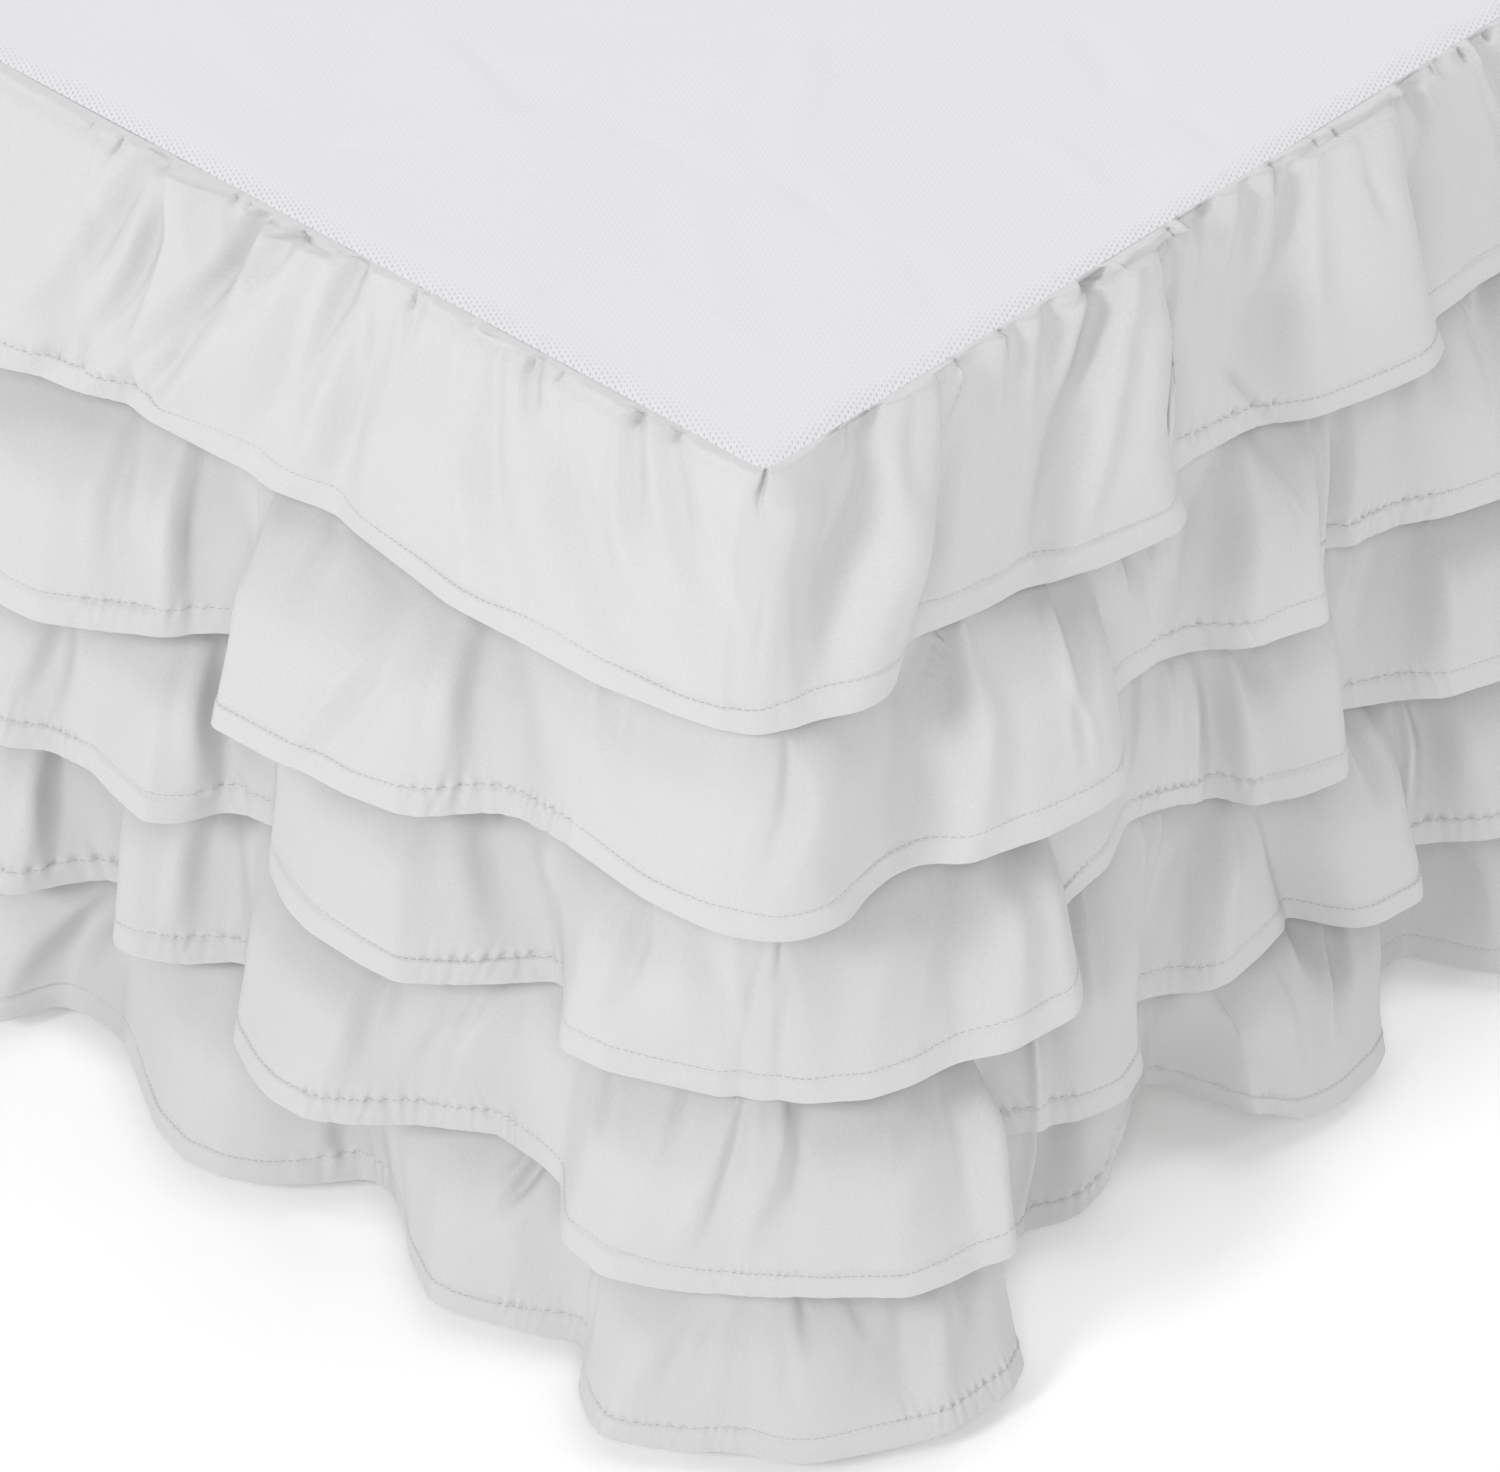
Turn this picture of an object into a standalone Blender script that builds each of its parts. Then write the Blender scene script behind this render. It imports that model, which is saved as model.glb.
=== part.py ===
# Bed skirt with five gathered tiers, hanging on a plain twin box spring that stands on four legs.
# Metres, +Z up. The foot is at -Y, the head at +Y, and the tiers run round both long sides and the foot.
import bpy
import numpy as np
from math import pi

# --- bed ---
bedWidth = 0.991
bedLength = 1.905
seamHeight = 0.4662        # top of the platform panel above the floor
seamCorner = 0.006         # rounding of the platform at the foot corners
platformThick = 0.0012
restGap = 0.0004           # air between the platform panel and what it lies on
springInset = 0.008        # the box spring stands this far inside the platform's edge
springHeight = 0.229
springCorner = 0.030
springEdge = 0.012
legSize = 0.060
legInset = 0.115
legTaper = 0.75

# --- drop panel that carries tiers 2 to 5 ---
panelFace = 0.0010         # its outer face is this far inside the platform's edge
panelThick = 0.0012
panelDrop = 0.372

# --- tiers ---
clothThick = 0.0015
firstDrop = 0.109          # platform to the hem of tier 1
tierStep = 0.087           # hem to hem below that
tierLap = 0.018            # a lower tier's seam is this far above the hem that covers it
crestLift = 0.06           # a hem rises by this share of how far it stands out
easeWidth = 0.0025         # how softly one stretch of a hem runs into the next
cornerReach = 0.040        # folds are placed along a line this far outside the seam
columnsPerTier = [208, 210, 214, 214, 214]
nearGap = 0.015            # most distance between columns along the near hem
cornerGap = 0.009          # and round the corner
leastGap = 0.006

# The hem round the near corner as seen from above, in mm along that line (negative on the foot, positive on the long
# side): each corner of the hem, and how far out it stands there. It runs straight from one to the next.
hemColumns = ("at", "reach")
nearHem = {
    1: [(-462, 18), (-432, 37), (-403, 42), (-345, 21), (-292, 22), (-265, 23), (-230, 17), (-162, 30), (-87, 27),
        (-54, 21), (-31, 14), (14, 11), (38, 14), (54, 22), (67, 24), (76, 21), (91, 9), (104, 7), (140, 16), (162, 20),
        (182, 28), (222, 33), (231, 26), (241, 17), (250, 12), (262, 10), (291, 14), (310, 22), (342, 31), (370, 36),
        (388, 34), (401, 20), (430, 15)],
    2: [(-470, 14), (-444, 56), (-410, 66), (-372, 73), (-355, 71), (-333, 57), (-311, 40), (-302, 28), (-291, 16),
        (-279, 18), (-257, 70), (-228, 68), (-188, 63), (-165, 58), (-157, 52), (-141, 32), (-131, 26), (-111, 25),
        (-65, 29), (-32, 26), (-14, 25), (24, 29), (43, 31), (57, 28), (73, 28), (90, 33), (114, 47), (129, 53),
        (154, 57), (170, 57), (184, 47), (204, 15), (228, 10), (243, 11), (255, 18), (278, 34), (307, 46), (314, 40),
        (326, 16), (348, 16), (362, 19), (380, 24), (396, 35), (420, 44), (460, 50)],
    3: [(-468, 16), (-444, 52), (-412, 64), (-394, 63), (-380, 51), (-357, 48), (-339, 53), (-316, 57), (-306, 48),
        (-299, 28), (-284, 22), (-274, 20), (-259, 42), (-237, 54), (-219, 59), (-188, 59), (-171, 57), (-154, 41),
        (-138, 23), (-130, 12), (-121, 12), (-99, 41), (-77, 38), (-50, 25), (-24, 13), (13, 14), (37, 27), (47, 38),
        (66, 47), (84, 51), (116, 61), (136, 67), (146, 60), (168, 28), (200, 26), (228, 12), (248, 16), (268, 18),
        (288, 32), (304, 42), (325, 48), (333, 42), (347, 17), (360, 16), (373, 27), (394, 42), (418, 54), (462, 58)],
    4: [(-474, 14), (-448, 52), (-418, 62), (-406, 59), (-392, 31), (-385, 20), (-371, 19), (-352, 50), (-340, 50),
        (-321, 39), (-306, 20), (-294, 20), (-270, 58), (-247, 69), (-232, 73), (-213, 72), (-197, 61), (-177, 40),
        (-153, 23), (-127, 24), (-113, 27), (-90, 52), (-64, 56), (-42, 45), (-21, 33), (-3, 31), (15, 34), (31, 45),
        (46, 62), (65, 70), (92, 76), (103, 66), (124, 24), (137, 20), (153, 32), (168, 43), (192, 48), (211, 41),
        (232, 13), (244, 12), (264, 26), (280, 31), (298, 30), (321, 26), (327, 18), (337, 47), (347, 54), (372, 58),
        (382, 50), (395, 26), (403, 34), (426, 56), (466, 60)],
    5: [(-476, 14), (-452, 52), (-434, 56), (-427, 52), (-421, 27), (-408, 22), (-386, 22), (-370, 30), (-353, 40),
        (-329, 53), (-305, 59), (-286, 55), (-270, 46), (-252, 25), (-241, 11), (-229, 11), (-208, 24), (-195, 35),
        (-170, 48), (-157, 46), (-124, 31), (-112, 23), (-105, 22), (-90, 44), (-76, 53), (-65, 57), (-48, 49),
        (-22, 32), (-8, 30), (10, 37), (30, 45), (54, 59), (74, 66), (103, 68), (119, 61), (142, 18), (160, 9),
        (181, 8), (197, 22), (209, 26), (230, 17), (250, 6), (264, 2), (270, 19), (277, 50), (300, 50), (331, 56),
        (357, 53), (370, 48), (389, 14), (405, 11), (428, 12), (436, 36), (442, 54), (470, 58)],
}
# Where those hems end on the long side, and the folds that go on from there and at the other end: how wide a fold
# is, how far its crest and its valley stand out, mm.
onwardColumns = ("tier", "ends", "widthLeast", "widthMost", "crestLeast", "crestMost", "low")
onwardFolds = [(1, 458, 110, 165, 25, 40, 12), (2, 494, 105, 165, 44, 68, 13), (3, 492, 100, 160, 44, 66, 13),
               (4, 494, 85, 150, 44, 68, 14), (5, 502, 90, 150, 44, 66, 13)]
# Stretches where a hem rides higher than its reach alone would put it, mm.
liftColumns = ("tier", "at", "halfWidth", "lift")
hemLifts = [(3, 208, 62, 17), (5, 250, 48, 26)]
# The folds do not hang straight down: fold lines, mm, each with its place at the hem, three quarters, half and a
# quarter of the way down, and at the seam.
lineColumns = ("hem", "low", "middle", "high", "seam")
foldLines = {
    1: [(-480, -480, -480, -480, -480), (-384, -380, -372, -357, -338), (-250, -255, -249, -238, -226),
        (-150, -143, -146, -150, -154), (-20, -20, -20, -20, -20), (30, 32, 42, 58, 78), (85, 98, 109, 121, 129),
        (150, 153, 171, 186, 204), (237, 222, 221, 232, 247), (300, 290, 303, 312, 318), (395, 386, 379, 375, 375),
        (458, 455, 447, 437, 424), (500, 500, 500, 500, 500)],
    2: [(-480, -480, -480, -480, -480), (-329, -334, -342, -351, -358), (-309, -309, -313, -321, -328),
        (-149, -151, -153, -160, -168), (-40, -40, -40, -40, -40),
        (30, 8, 14, 40, 60), (73, 76, 88, 104, 115), (200, 200, 200, 200, 200), (255, 257, 263, 277, 285),
        (345, 345, 348, 356, 362), (430, 430, 430, 430, 430), (500, 500, 500, 500, 500)],
    3: [(-480, -480, -480, -480, -480), (-303, -306, -310, -321, -328), (-210, -210, -210, -210, -210),
        (-141, -150, -161, -174, -184), (-86, -82, -77, -78, -80), (0, 2, 14, 36, 50), (64, 76, 92, 108, 120),
        (160, 160, 160, 160, 160), (236, 235, 238, 246, 252), (300, 300, 300, 300, 300), (370, 374, 380, 389, 395),
        (440, 440, 440, 440, 440), (500, 500, 500, 500, 500)],
    4: [(-480, -480, -480, -480, -480), (-400, -401, -407, -417, -424), (-316, -320, -323, -328, -332),
        (-206, -203, -203, -206, -210), (-180, -178, -169, -156, -147), (-110, -110, -110, -110, -110),
        (-38, -31, -25, -26, -28), (-3, -2, 12, 38, 55), (63, 67, 77, 92, 104), (124, 124, 126, 128, 130),
        (156, 157, 159, 162, 164), (188, 188, 196, 206, 214), (245, 248, 256, 269, 278), (327, 321, 315, 312, 310),
        (401, 402, 404, 412, 418), (500, 500, 500, 500, 500)],
    5: [(-480, -480, -480, -480, -480), (-421, -416, -409, -392, -380), (-330, -330, -330, -330, -330),
        (-243, -249, -254, -257, -258), (-128, -131, -135, -141, -145), (-52, -49, -46, -41, -38),
        (-10, -10, -10, -8, -5), (41, 44, 52, 67, 76), (130, 130, 132, 134, 136), (181, 187, 191, 195, 198),
        (264, 264, 265, 266, 267), (336, 340, 352, 366, 376), (430, 430, 430, 430, 430), (500, 500, 500, 500, 500)],
}
# How the reach grows from a tier's seam (down 0) to its hem (down 1).
profileColumns = ("down", "share")
firstProfile = [(0.0, 0.04), (0.06, 0.25), (0.5, 0.68), (1.0, 1.0)]
lowerProfile = [(0.0, 0.02), (0.17, 0.08), (0.52, 0.72), (1.0, 1.0)]
seamReach = {1: 0.0010, 2: 0.0004, 3: 0.0004, 4: 0.0004, 5: 0.0004}

deepest = 0.072            # the plan is centred for folds that reach this far past the foot
shiftY = deepest / 2


def removeAll():
    for item in list(bpy.data.objects):
        bpy.data.objects.remove(item, do_unlink=True)


def material(name, colour, roughness, metallic=0.0):
    mat = bpy.data.materials.new(name)
    mat.use_nodes = True
    shader = mat.node_tree.nodes["Principled BSDF"]
    shader.inputs["Base Color"].default_value = (*colour, 1.0)
    shader.inputs["Roughness"].default_value = roughness
    shader.inputs["Metallic"].default_value = metallic
    return mat


def addObject(name, points, faces, mat):
    mesh = bpy.data.meshes.new(name)
    mesh.from_pydata([tuple(p) for p in points], [], faces)
    mesh.materials.append(mat)
    mesh.validate()
    mesh.update()
    item = bpy.data.objects.new(name, mesh)
    bpy.context.collection.objects.link(item)
    return item


# --- the line of the seam: position w runs along a line cornerReach outside it, 0 at the near corner's middle ---
arcLength = (seamCorner + cornerReach) * pi / 2
footLine = bedWidth - 2 * seamCorner
sideLine = bedLength - seamCorner
lineStart = -(arcLength / 2 + footLine + arcLength + sideLine)
lineEnd = arcLength / 2 + sideLine


def seamAt(w):
    """Point on the seam and outward direction for each w."""
    w = np.asarray(w, float)
    halfX = bedWidth / 2
    footY = -bedLength / 2
    r = seamCorner
    half = arcLength / 2
    turnNear = np.clip((w + half) / arcLength, 0, 1)
    turnFar = np.clip((w + half + footLine + arcLength) / arcLength, 0, 1)
    angle = -pi + (turnNear + turnFar) * pi / 2
    out = np.stack([np.cos(angle), np.sin(angle)], -1)
    side = np.clip(w - half, 0, None)
    foot = np.clip(w + half + footLine, 0, footLine)
    far = np.clip(w + half + footLine + arcLength, None, 0)
    centreX = -halfX + r + foot
    centreY = footY + r + side - far
    point = np.stack([centreX + r * out[:, 0], centreY + r * out[:, 1] + shiftY], -1)
    return point, out


def hemCorners(tier):
    """Corners of a tier's hem from the far head end to the near head end, as rows of hemColumns in metres."""
    number, ends, widthLeast, widthMost, crestLeast, crestMost, low = onwardFolds[tier - 1]
    rng = np.random.default_rng(40 + tier)
    near = nearHem[tier]

    def fold(at, width):
        reach = rng.uniform(crestLeast, crestMost)
        left = at + width * rng.uniform(0.18, 0.38)
        right = at + width * rng.uniform(0.62, 0.82)
        return [(at, low + rng.uniform(-2, 6)), (left, reach), (right, reach * rng.uniform(0.9, 1.05))]

    after = []
    at = ends
    while at < lineEnd * 1000 + 60:
        width = rng.uniform(widthLeast, widthMost)
        after += fold(at, width)
        at += width
    before = []
    at = near[0][0]
    while at > lineStart * 1000 - 60:
        width = rng.uniform(widthLeast, widthMost)
        at -= width
        before = fold(at, width) + before
    return np.array(before + near + after) * 0.001


def hemReach(tier, w):
    """Reach of the hem: straight between its corners, then eased over easeWidth."""
    places, reaches = hemCorners(tier).T
    step = 0.0005
    grid = np.arange(places[0], places[-1], step)
    raw = np.interp(grid, places, reaches)
    span = int(easeWidth * 4 / step)
    spread = np.arange(-span, span + 1) * step
    weight = np.exp(-0.5 * (spread / easeWidth) ** 2)
    padded = np.pad(raw, span, mode="edge")
    eased = np.convolve(padded, weight / weight.sum(), mode="valid")
    return np.interp(w, grid, eased)


def hemLift(tier, w):
    """Bell-shaped rises of the hem where hemLifts has rows for this tier."""
    total = np.zeros_like(w)
    for number, at, halfWidth, lift in hemLifts:
        if number == tier:
            total += lift * 0.001 * np.exp(-((w * 1000 - at) / halfWidth) ** 4)
    return total


def columnsAt(tier, count):
    """Columns at the near hem's corners and evenly between them; the rest are set closer where the folds bend."""
    corners = np.array(nearHem[tier])[:, 0] * 0.001
    bends = corners[0], corners[-1]
    near = [corners[:1]]
    for a, b in zip(corners[:-1], corners[1:]):
        gap = cornerGap if abs((a + b) / 2) < arcLength / 2 else nearGap
        near.append(np.linspace(a, b, int((b - a) / gap) + 2)[1:])
    near = np.concatenate(near)
    w = np.linspace(lineStart, lineEnd, 6001)
    bend = np.abs(np.gradient(np.gradient(hemReach(tier, w), w), w))
    turn = np.linalg.norm(np.gradient(seamAt(w)[1], w, axis=0), axis=1)
    load = (16 + np.sqrt(bend) * 5 + turn * 1.5) * np.where((w > bends[0]) & (w < bends[1]), 0.0, 1.0)
    total = np.concatenate([[0], np.cumsum((load[1:] + load[:-1]) / 2)])
    far = np.interp(np.linspace(0, total[-1], count - len(near)), total, w)
    clear = (far < bends[0] - leastGap) | (far > bends[1] + leastGap)
    return np.sort(np.concatenate([near, far[clear]]))


def foldPlaces(tier, w, down):
    """Where the cloth that is at w on the hem is, a share down of the way from seam to hem.

    Each fold line is a smooth curve through its five places; the cloth between two lines moves evenly."""
    lines = np.array(foldLines[tier]) * 0.001
    curve = np.polyfit([1.0, 0.75, 0.5, 0.25, 0.0], lines.T, 4)
    return w + np.interp(w, lines[:, 0], np.polyval(curve, down) - lines[:, 0])


def sheetSurface(tier, w):
    """Middle of the cloth: one row of points per profile row, one column per w at the hem."""
    hemDrop = firstDrop + tierStep * (tier - 1)
    topDrop = 0.0003 if tier == 1 else hemDrop - tierStep - tierLap
    profile = firstProfile if tier == 1 else lowerProfile
    reach = hemReach(tier, w)
    rows = []
    for down, share in profile:
        point, out = seamAt(foldPlaces(tier, w, down))
        away = seamReach[tier] + reach * share
        lift = (crestLift * (reach - reach.min()) + hemLift(tier, w)) * down
        z = seamHeight - topDrop - (hemDrop - topDrop) * down + lift
        flat = point + out * away[:, None]
        rows.append(np.column_stack([flat, z]))
    return np.array(rows)


def thickened(middle, thick):
    """Outer and inner sheets half the thickness off the middle, along its normals."""
    along = np.gradient(middle, axis=1)
    down = np.gradient(middle, axis=0)
    normal = np.cross(down, along)
    normal /= np.linalg.norm(normal, axis=2, keepdims=True)
    return middle + normal * thick / 2, middle - normal * thick / 2


def closedSheet(name, outer, inner, mat):
    """A closed body from two matching grids of points, outer sheet first."""
    rows, columns = outer.shape[:2]
    points = np.concatenate([outer.reshape(-1, 3), inner.reshape(-1, 3)])
    back = rows * columns
    at = np.arange(rows * columns).reshape(rows, columns)
    faces = []
    for i in range(rows - 1):
        for j in range(columns - 1):
            a, b, c, d = at[i, j], at[i + 1, j], at[i + 1, j + 1], at[i, j + 1]
            faces.append((a, b, c, d))
            faces.append((a + back, d + back, c + back, b + back))
    for j in range(columns - 1):
        a, b = at[0, j], at[0, j + 1]
        faces.append((a, b, b + back, a + back))
        a, b = at[-1, j], at[-1, j + 1]
        faces.append((b, a, a + back, b + back))
    for i in range(rows - 1):
        a, b = at[i, 0], at[i + 1, 0]
        faces.append((b, a, a + back, b + back))
        a, b = at[i, -1], at[i + 1, -1]
        faces.append((a, b, b + back, a + back))
    faces = [tuple(int(v) for v in face) for face in faces]
    return addObject(name, points, faces, mat)


def slab(name, outline, low, high, mat, edge=0.0):
    """A block with the given plan outline, its upper and lower rims rounded by edge."""
    outline = np.asarray(outline, float)
    before = np.roll(outline, 1, axis=0)
    after = np.roll(outline, -1, axis=0)
    tangent = after - before
    tangent /= np.linalg.norm(tangent, axis=1, keepdims=True)
    outward = np.column_stack([tangent[:, 1], -tangent[:, 0]])
    rings = [(low, 0.0), (high, 0.0)]
    if edge:
        turns = np.linspace(0, pi / 2, 4)
        rings = [(low + edge * (1 - np.sin(t)), edge * (1 - np.cos(t))) for t in turns[::-1]]
        rings += [(high - edge * (1 - np.sin(t)), edge * (1 - np.cos(t))) for t in turns]
    n = len(outline)
    points = []
    for z, inset in rings:
        ring = outline - outward * inset
        points += [(x, y, z) for x, y in ring]
    faces = [tuple(range(n))[::-1], tuple(range((len(rings) - 1) * n, len(rings) * n))]
    for k in range(len(rings) - 1):
        for j in range(n):
            a, b = k * n + j, k * n + (j + 1) % n
            faces.append((a, b, b + n, a + n))
    return addObject(name, points, faces, mat)


def roundedOutline(halfX, y0, y1, corner, headCorner, steps=6):
    """Plan outline, counter-clockwise, rounded at the foot by corner and at the head by headCorner."""
    points = []
    places = [(halfX, y1, 0.0, headCorner), (-halfX, y1, 0.5, headCorner), (-halfX, y0, 1.0, corner),
              (halfX, y0, 1.5, corner)]
    for x, y, turn, r in places:
        cx = x - np.sign(x) * r
        cy = y - (r if y == y1 else -r)
        angles = turn * pi + np.linspace(0, pi / 2, steps if r else 1)
        points += [(cx + r * np.cos(t), cy + r * np.sin(t)) for t in angles]
    return points


def buildPlatform(mat):
    outline = roundedOutline(bedWidth / 2, shiftY - bedLength / 2, shiftY + bedLength / 2, seamCorner, 0.0)
    slab("platform", outline, seamHeight - platformThick, seamHeight, mat)


def buildDropPanel(mat):
    arc = np.linspace(-arcLength / 2, arcLength / 2, 9)
    w = np.concatenate([np.linspace(lineStart, -arcLength / 2 - footLine - arcLength, 5)[:-1],
                        arc - footLine - arcLength, np.linspace(-arcLength / 2 - footLine, -arcLength / 2, 5)[1:-1],
                        arc, np.linspace(arcLength / 2, lineEnd, 5)[1:]])
    point, out = seamAt(w)
    top = seamHeight - platformThick - restGap
    heights = np.linspace(top, seamHeight - panelDrop, 3)
    outer = np.array([np.column_stack([point - out * panelFace, np.full(len(w), z)]) for z in heights])
    inner = np.array([np.column_stack([point - out * (panelFace + panelThick), np.full(len(w), z)])
                      for z in heights])
    closedSheet("drop_panel", outer, inner, mat)


def buildTier(tier, mat):
    w = columnsAt(tier, columnsPerTier[tier - 1])
    middle = sheetSurface(tier, w)
    outer, inner = thickened(middle, clothThick)
    closedSheet(f"tier_{tier}", outer, inner, mat)


def buildBase(springMat, legMat):
    halfX = bedWidth / 2 - springInset
    y0 = shiftY - bedLength / 2 + springInset
    y1 = shiftY + bedLength / 2 - springInset
    top = seamHeight - platformThick - restGap
    low = top - springHeight
    slab("box_spring", roundedOutline(halfX, y0, y1, springCorner, springCorner), low, top, springMat, springEdge)
    spots = [(-1, y0), (1, y0), (-1, y1), (1, y1)]
    for number, (side, y) in enumerate(spots, 1):
        cx = side * (halfX - legInset)
        cy = y + legInset if y == y0 else y - legInset
        half = legSize / 2
        points = []
        for z, size in ((0.0, half * legTaper), (low - 0.0004, half)):
            points += [(cx - size, cy - size, z), (cx + size, cy - size, z), (cx + size, cy + size, z),
                       (cx - size, cy + size, z)]
        faces = [(3, 2, 1, 0), (4, 5, 6, 7), (0, 1, 5, 4), (1, 2, 6, 5), (2, 3, 7, 6), (3, 0, 4, 7)]
        addObject(f"leg_{number}", points, faces, legMat)


removeAll()
whiteCloth = material("whiteCotton", (0.86, 0.86, 0.86), 0.82)
meshCloth = material("whiteMesh", (0.84, 0.84, 0.87), 0.88)
panelCloth = material("panelCotton", (0.82, 0.82, 0.82), 0.85)
springCloth = material("springCover", (0.70, 0.69, 0.67), 0.85)
legWood = material("legWood", (0.35, 0.24, 0.15), 0.55)
buildPlatform(meshCloth)
buildDropPanel(panelCloth)
for tierNumber in (1, 2, 3, 4, 5):
    buildTier(tierNumber, whiteCloth)
buildBase(springCloth, legWood)
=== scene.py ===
import bpy
import numpy as np
from math import pi, radians, sin, cos
from mathutils import Matrix, Vector


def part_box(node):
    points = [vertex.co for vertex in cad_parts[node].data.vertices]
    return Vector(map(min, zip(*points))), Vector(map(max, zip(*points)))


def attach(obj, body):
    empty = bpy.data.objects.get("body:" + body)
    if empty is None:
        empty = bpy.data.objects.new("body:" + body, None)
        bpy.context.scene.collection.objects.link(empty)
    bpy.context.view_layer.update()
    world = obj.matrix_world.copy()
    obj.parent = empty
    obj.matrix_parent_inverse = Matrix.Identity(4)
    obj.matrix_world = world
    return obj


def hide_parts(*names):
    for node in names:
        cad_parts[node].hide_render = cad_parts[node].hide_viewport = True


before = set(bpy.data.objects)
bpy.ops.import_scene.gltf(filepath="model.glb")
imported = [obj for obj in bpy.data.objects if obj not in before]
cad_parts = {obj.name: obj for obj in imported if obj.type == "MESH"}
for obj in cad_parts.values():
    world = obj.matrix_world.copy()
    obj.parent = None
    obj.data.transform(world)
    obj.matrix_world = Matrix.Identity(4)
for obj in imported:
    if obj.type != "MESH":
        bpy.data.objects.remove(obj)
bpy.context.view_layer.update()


# The bed, read from the frame.
platformLow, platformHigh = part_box("platform")
halfWidth = platformHigh[0]
footY = platformLow[1]
headY = platformHigh[1]
seamHeight = platformHigh[2]

skirt = {
    "seamCorner": 0.006,     # rounding of the seam at the foot corners
    "cornerReach": 0.040,    # folds are placed along a line this far outside the seam
    "firstDrop": 0.109,      # seam to the hem of tier 1
    "tierStep": 0.087,       # hem to hem below that
    "tierLap": 0.018,        # a lower tier's seam above the hem that covers it
    "crestLift": 0.06,       # a hem rises by this share of how far it stands out
    "easeWidth": 0.0025,     # how softly one stretch of a hem runs into the next
    "hemDepth": 0.0112,      # edge to stitch line
    "hemThick": 0.0008,      # outer face to inner face of the folded hem
    "fineStep": 0.0014,      # mesh columns round the near corner
    "pinchStep": 0.00075,    # where a hem is drawn up
    "slitStep": 0.00055,     # at a slit
    "coarseStep": 0.0070,    # and elsewhere
    "fineSpan": 0.46,        # the mesh is fine this far along from the near corner
    "turnSpread": 0.026,     # the ends of a corner's arc are softened this far each way
    "seamClear": 0.0018,     # a crease stays less than this far behind the seam line at a seam
    "panelClear": 0.0034,    # and this far out from it, clear of the drop panel,
    "clearFrom": 0.025,      # from here down
    "tuck": 0.0020,          # the seam edge of tier 1 lies this far in under the platform
}

# The hem round the near corner as seen from above, in mm along that line (negative on the foot, positive on
# the long side): each corner of the hem, and how far out it stands there. It runs straight between them.
nearHem = {
    1: [(-462, 18), (-432, 37), (-403, 42), (-345, 21), (-292, 22), (-265, 23), (-230, 17), (-162, 30),
        (-87, 27), (-54, 21), (-31, 14), (14, 11), (38, 14), (54, 22), (67, 24), (76, 21), (91, 9),
        (104, 7), (140, 16), (162, 20), (182, 28), (222, 33), (231, 26), (241, 17), (250, 12), (262, 10),
        (291, 14), (310, 22), (342, 31), (370, 36), (388, 34), (401, 20), (430, 15)],
    2: [(-470, 14), (-444, 56), (-410, 66), (-372, 73), (-355, 71), (-333, 57), (-311, 40), (-302, 28),
        (-291, 16), (-279, 18), (-257, 70), (-228, 68), (-188, 63), (-165, 58), (-157, 52), (-141, 32),
        (-131, 26), (-111, 25), (-65, 29), (-32, 26), (-14, 25), (24, 29), (43, 31), (57, 28), (73, 28),
        (90, 33), (114, 47), (129, 53), (154, 57), (170, 57), (184, 47), (204, 15), (228, 10), (243, 11),
        (255, 18), (278, 34), (307, 46), (314, 40), (326, 16), (348, 16), (362, 19), (380, 24), (396, 35),
        (420, 44), (460, 50)],
    3: [(-468, 16), (-444, 52), (-412, 64), (-394, 63), (-380, 51), (-357, 48), (-339, 53), (-316, 57),
        (-306, 48), (-299, 28), (-284, 22), (-274, 20), (-259, 42), (-237, 54), (-219, 59), (-188, 59),
        (-171, 57), (-154, 41), (-138, 23), (-130, 12), (-121, 12), (-99, 41), (-77, 38), (-50, 25),
        (-24, 13), (13, 14), (37, 27), (47, 38), (66, 47), (84, 51), (116, 61), (136, 67), (146, 60),
        (168, 28), (200, 26), (228, 12), (248, 16), (268, 18), (288, 32), (304, 42), (325, 48), (333, 42),
        (347, 17), (360, 16), (373, 27), (394, 42), (418, 54), (462, 58)],
    4: [(-474, 14), (-448, 52), (-418, 62), (-406, 59), (-392, 31), (-385, 20), (-371, 19), (-352, 50),
        (-340, 50), (-321, 39), (-306, 20), (-294, 20), (-270, 58), (-247, 69), (-232, 73), (-213, 72),
        (-197, 61), (-177, 40), (-153, 23), (-127, 24), (-113, 27), (-90, 52), (-64, 56), (-42, 45),
        (-21, 33), (-3, 31), (15, 34), (31, 45), (46, 62), (65, 70), (92, 76), (103, 66), (124, 24),
        (137, 20), (153, 32), (168, 43), (192, 48), (211, 41), (232, 13), (244, 12), (264, 26), (280, 31),
        (298, 30), (321, 26), (327, 18), (337, 47), (347, 54), (372, 58), (382, 50), (395, 26), (403, 34),
        (426, 56), (466, 60)],
    5: [(-476, 14), (-452, 52), (-434, 56), (-427, 52), (-421, 27), (-408, 22), (-386, 22), (-370, 30),
        (-353, 40), (-329, 53), (-305, 59), (-286, 55), (-270, 46), (-252, 25), (-241, 11), (-229, 11),
        (-208, 24), (-195, 35), (-170, 48), (-157, 46), (-124, 31), (-112, 23), (-105, 22), (-90, 44),
        (-76, 53), (-65, 57), (-48, 49), (-22, 32), (-8, 30), (10, 37), (30, 45), (54, 59), (74, 66),
        (103, 68), (119, 61), (142, 18), (160, 9), (181, 8), (197, 22), (209, 26), (230, 17), (250, 6),
        (264, 2), (270, 19), (277, 50), (300, 50), (331, 56), (357, 53), (370, 48), (389, 14), (405, 11),
        (428, 12), (436, 36), (442, 54), (470, 58)],
}
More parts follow.
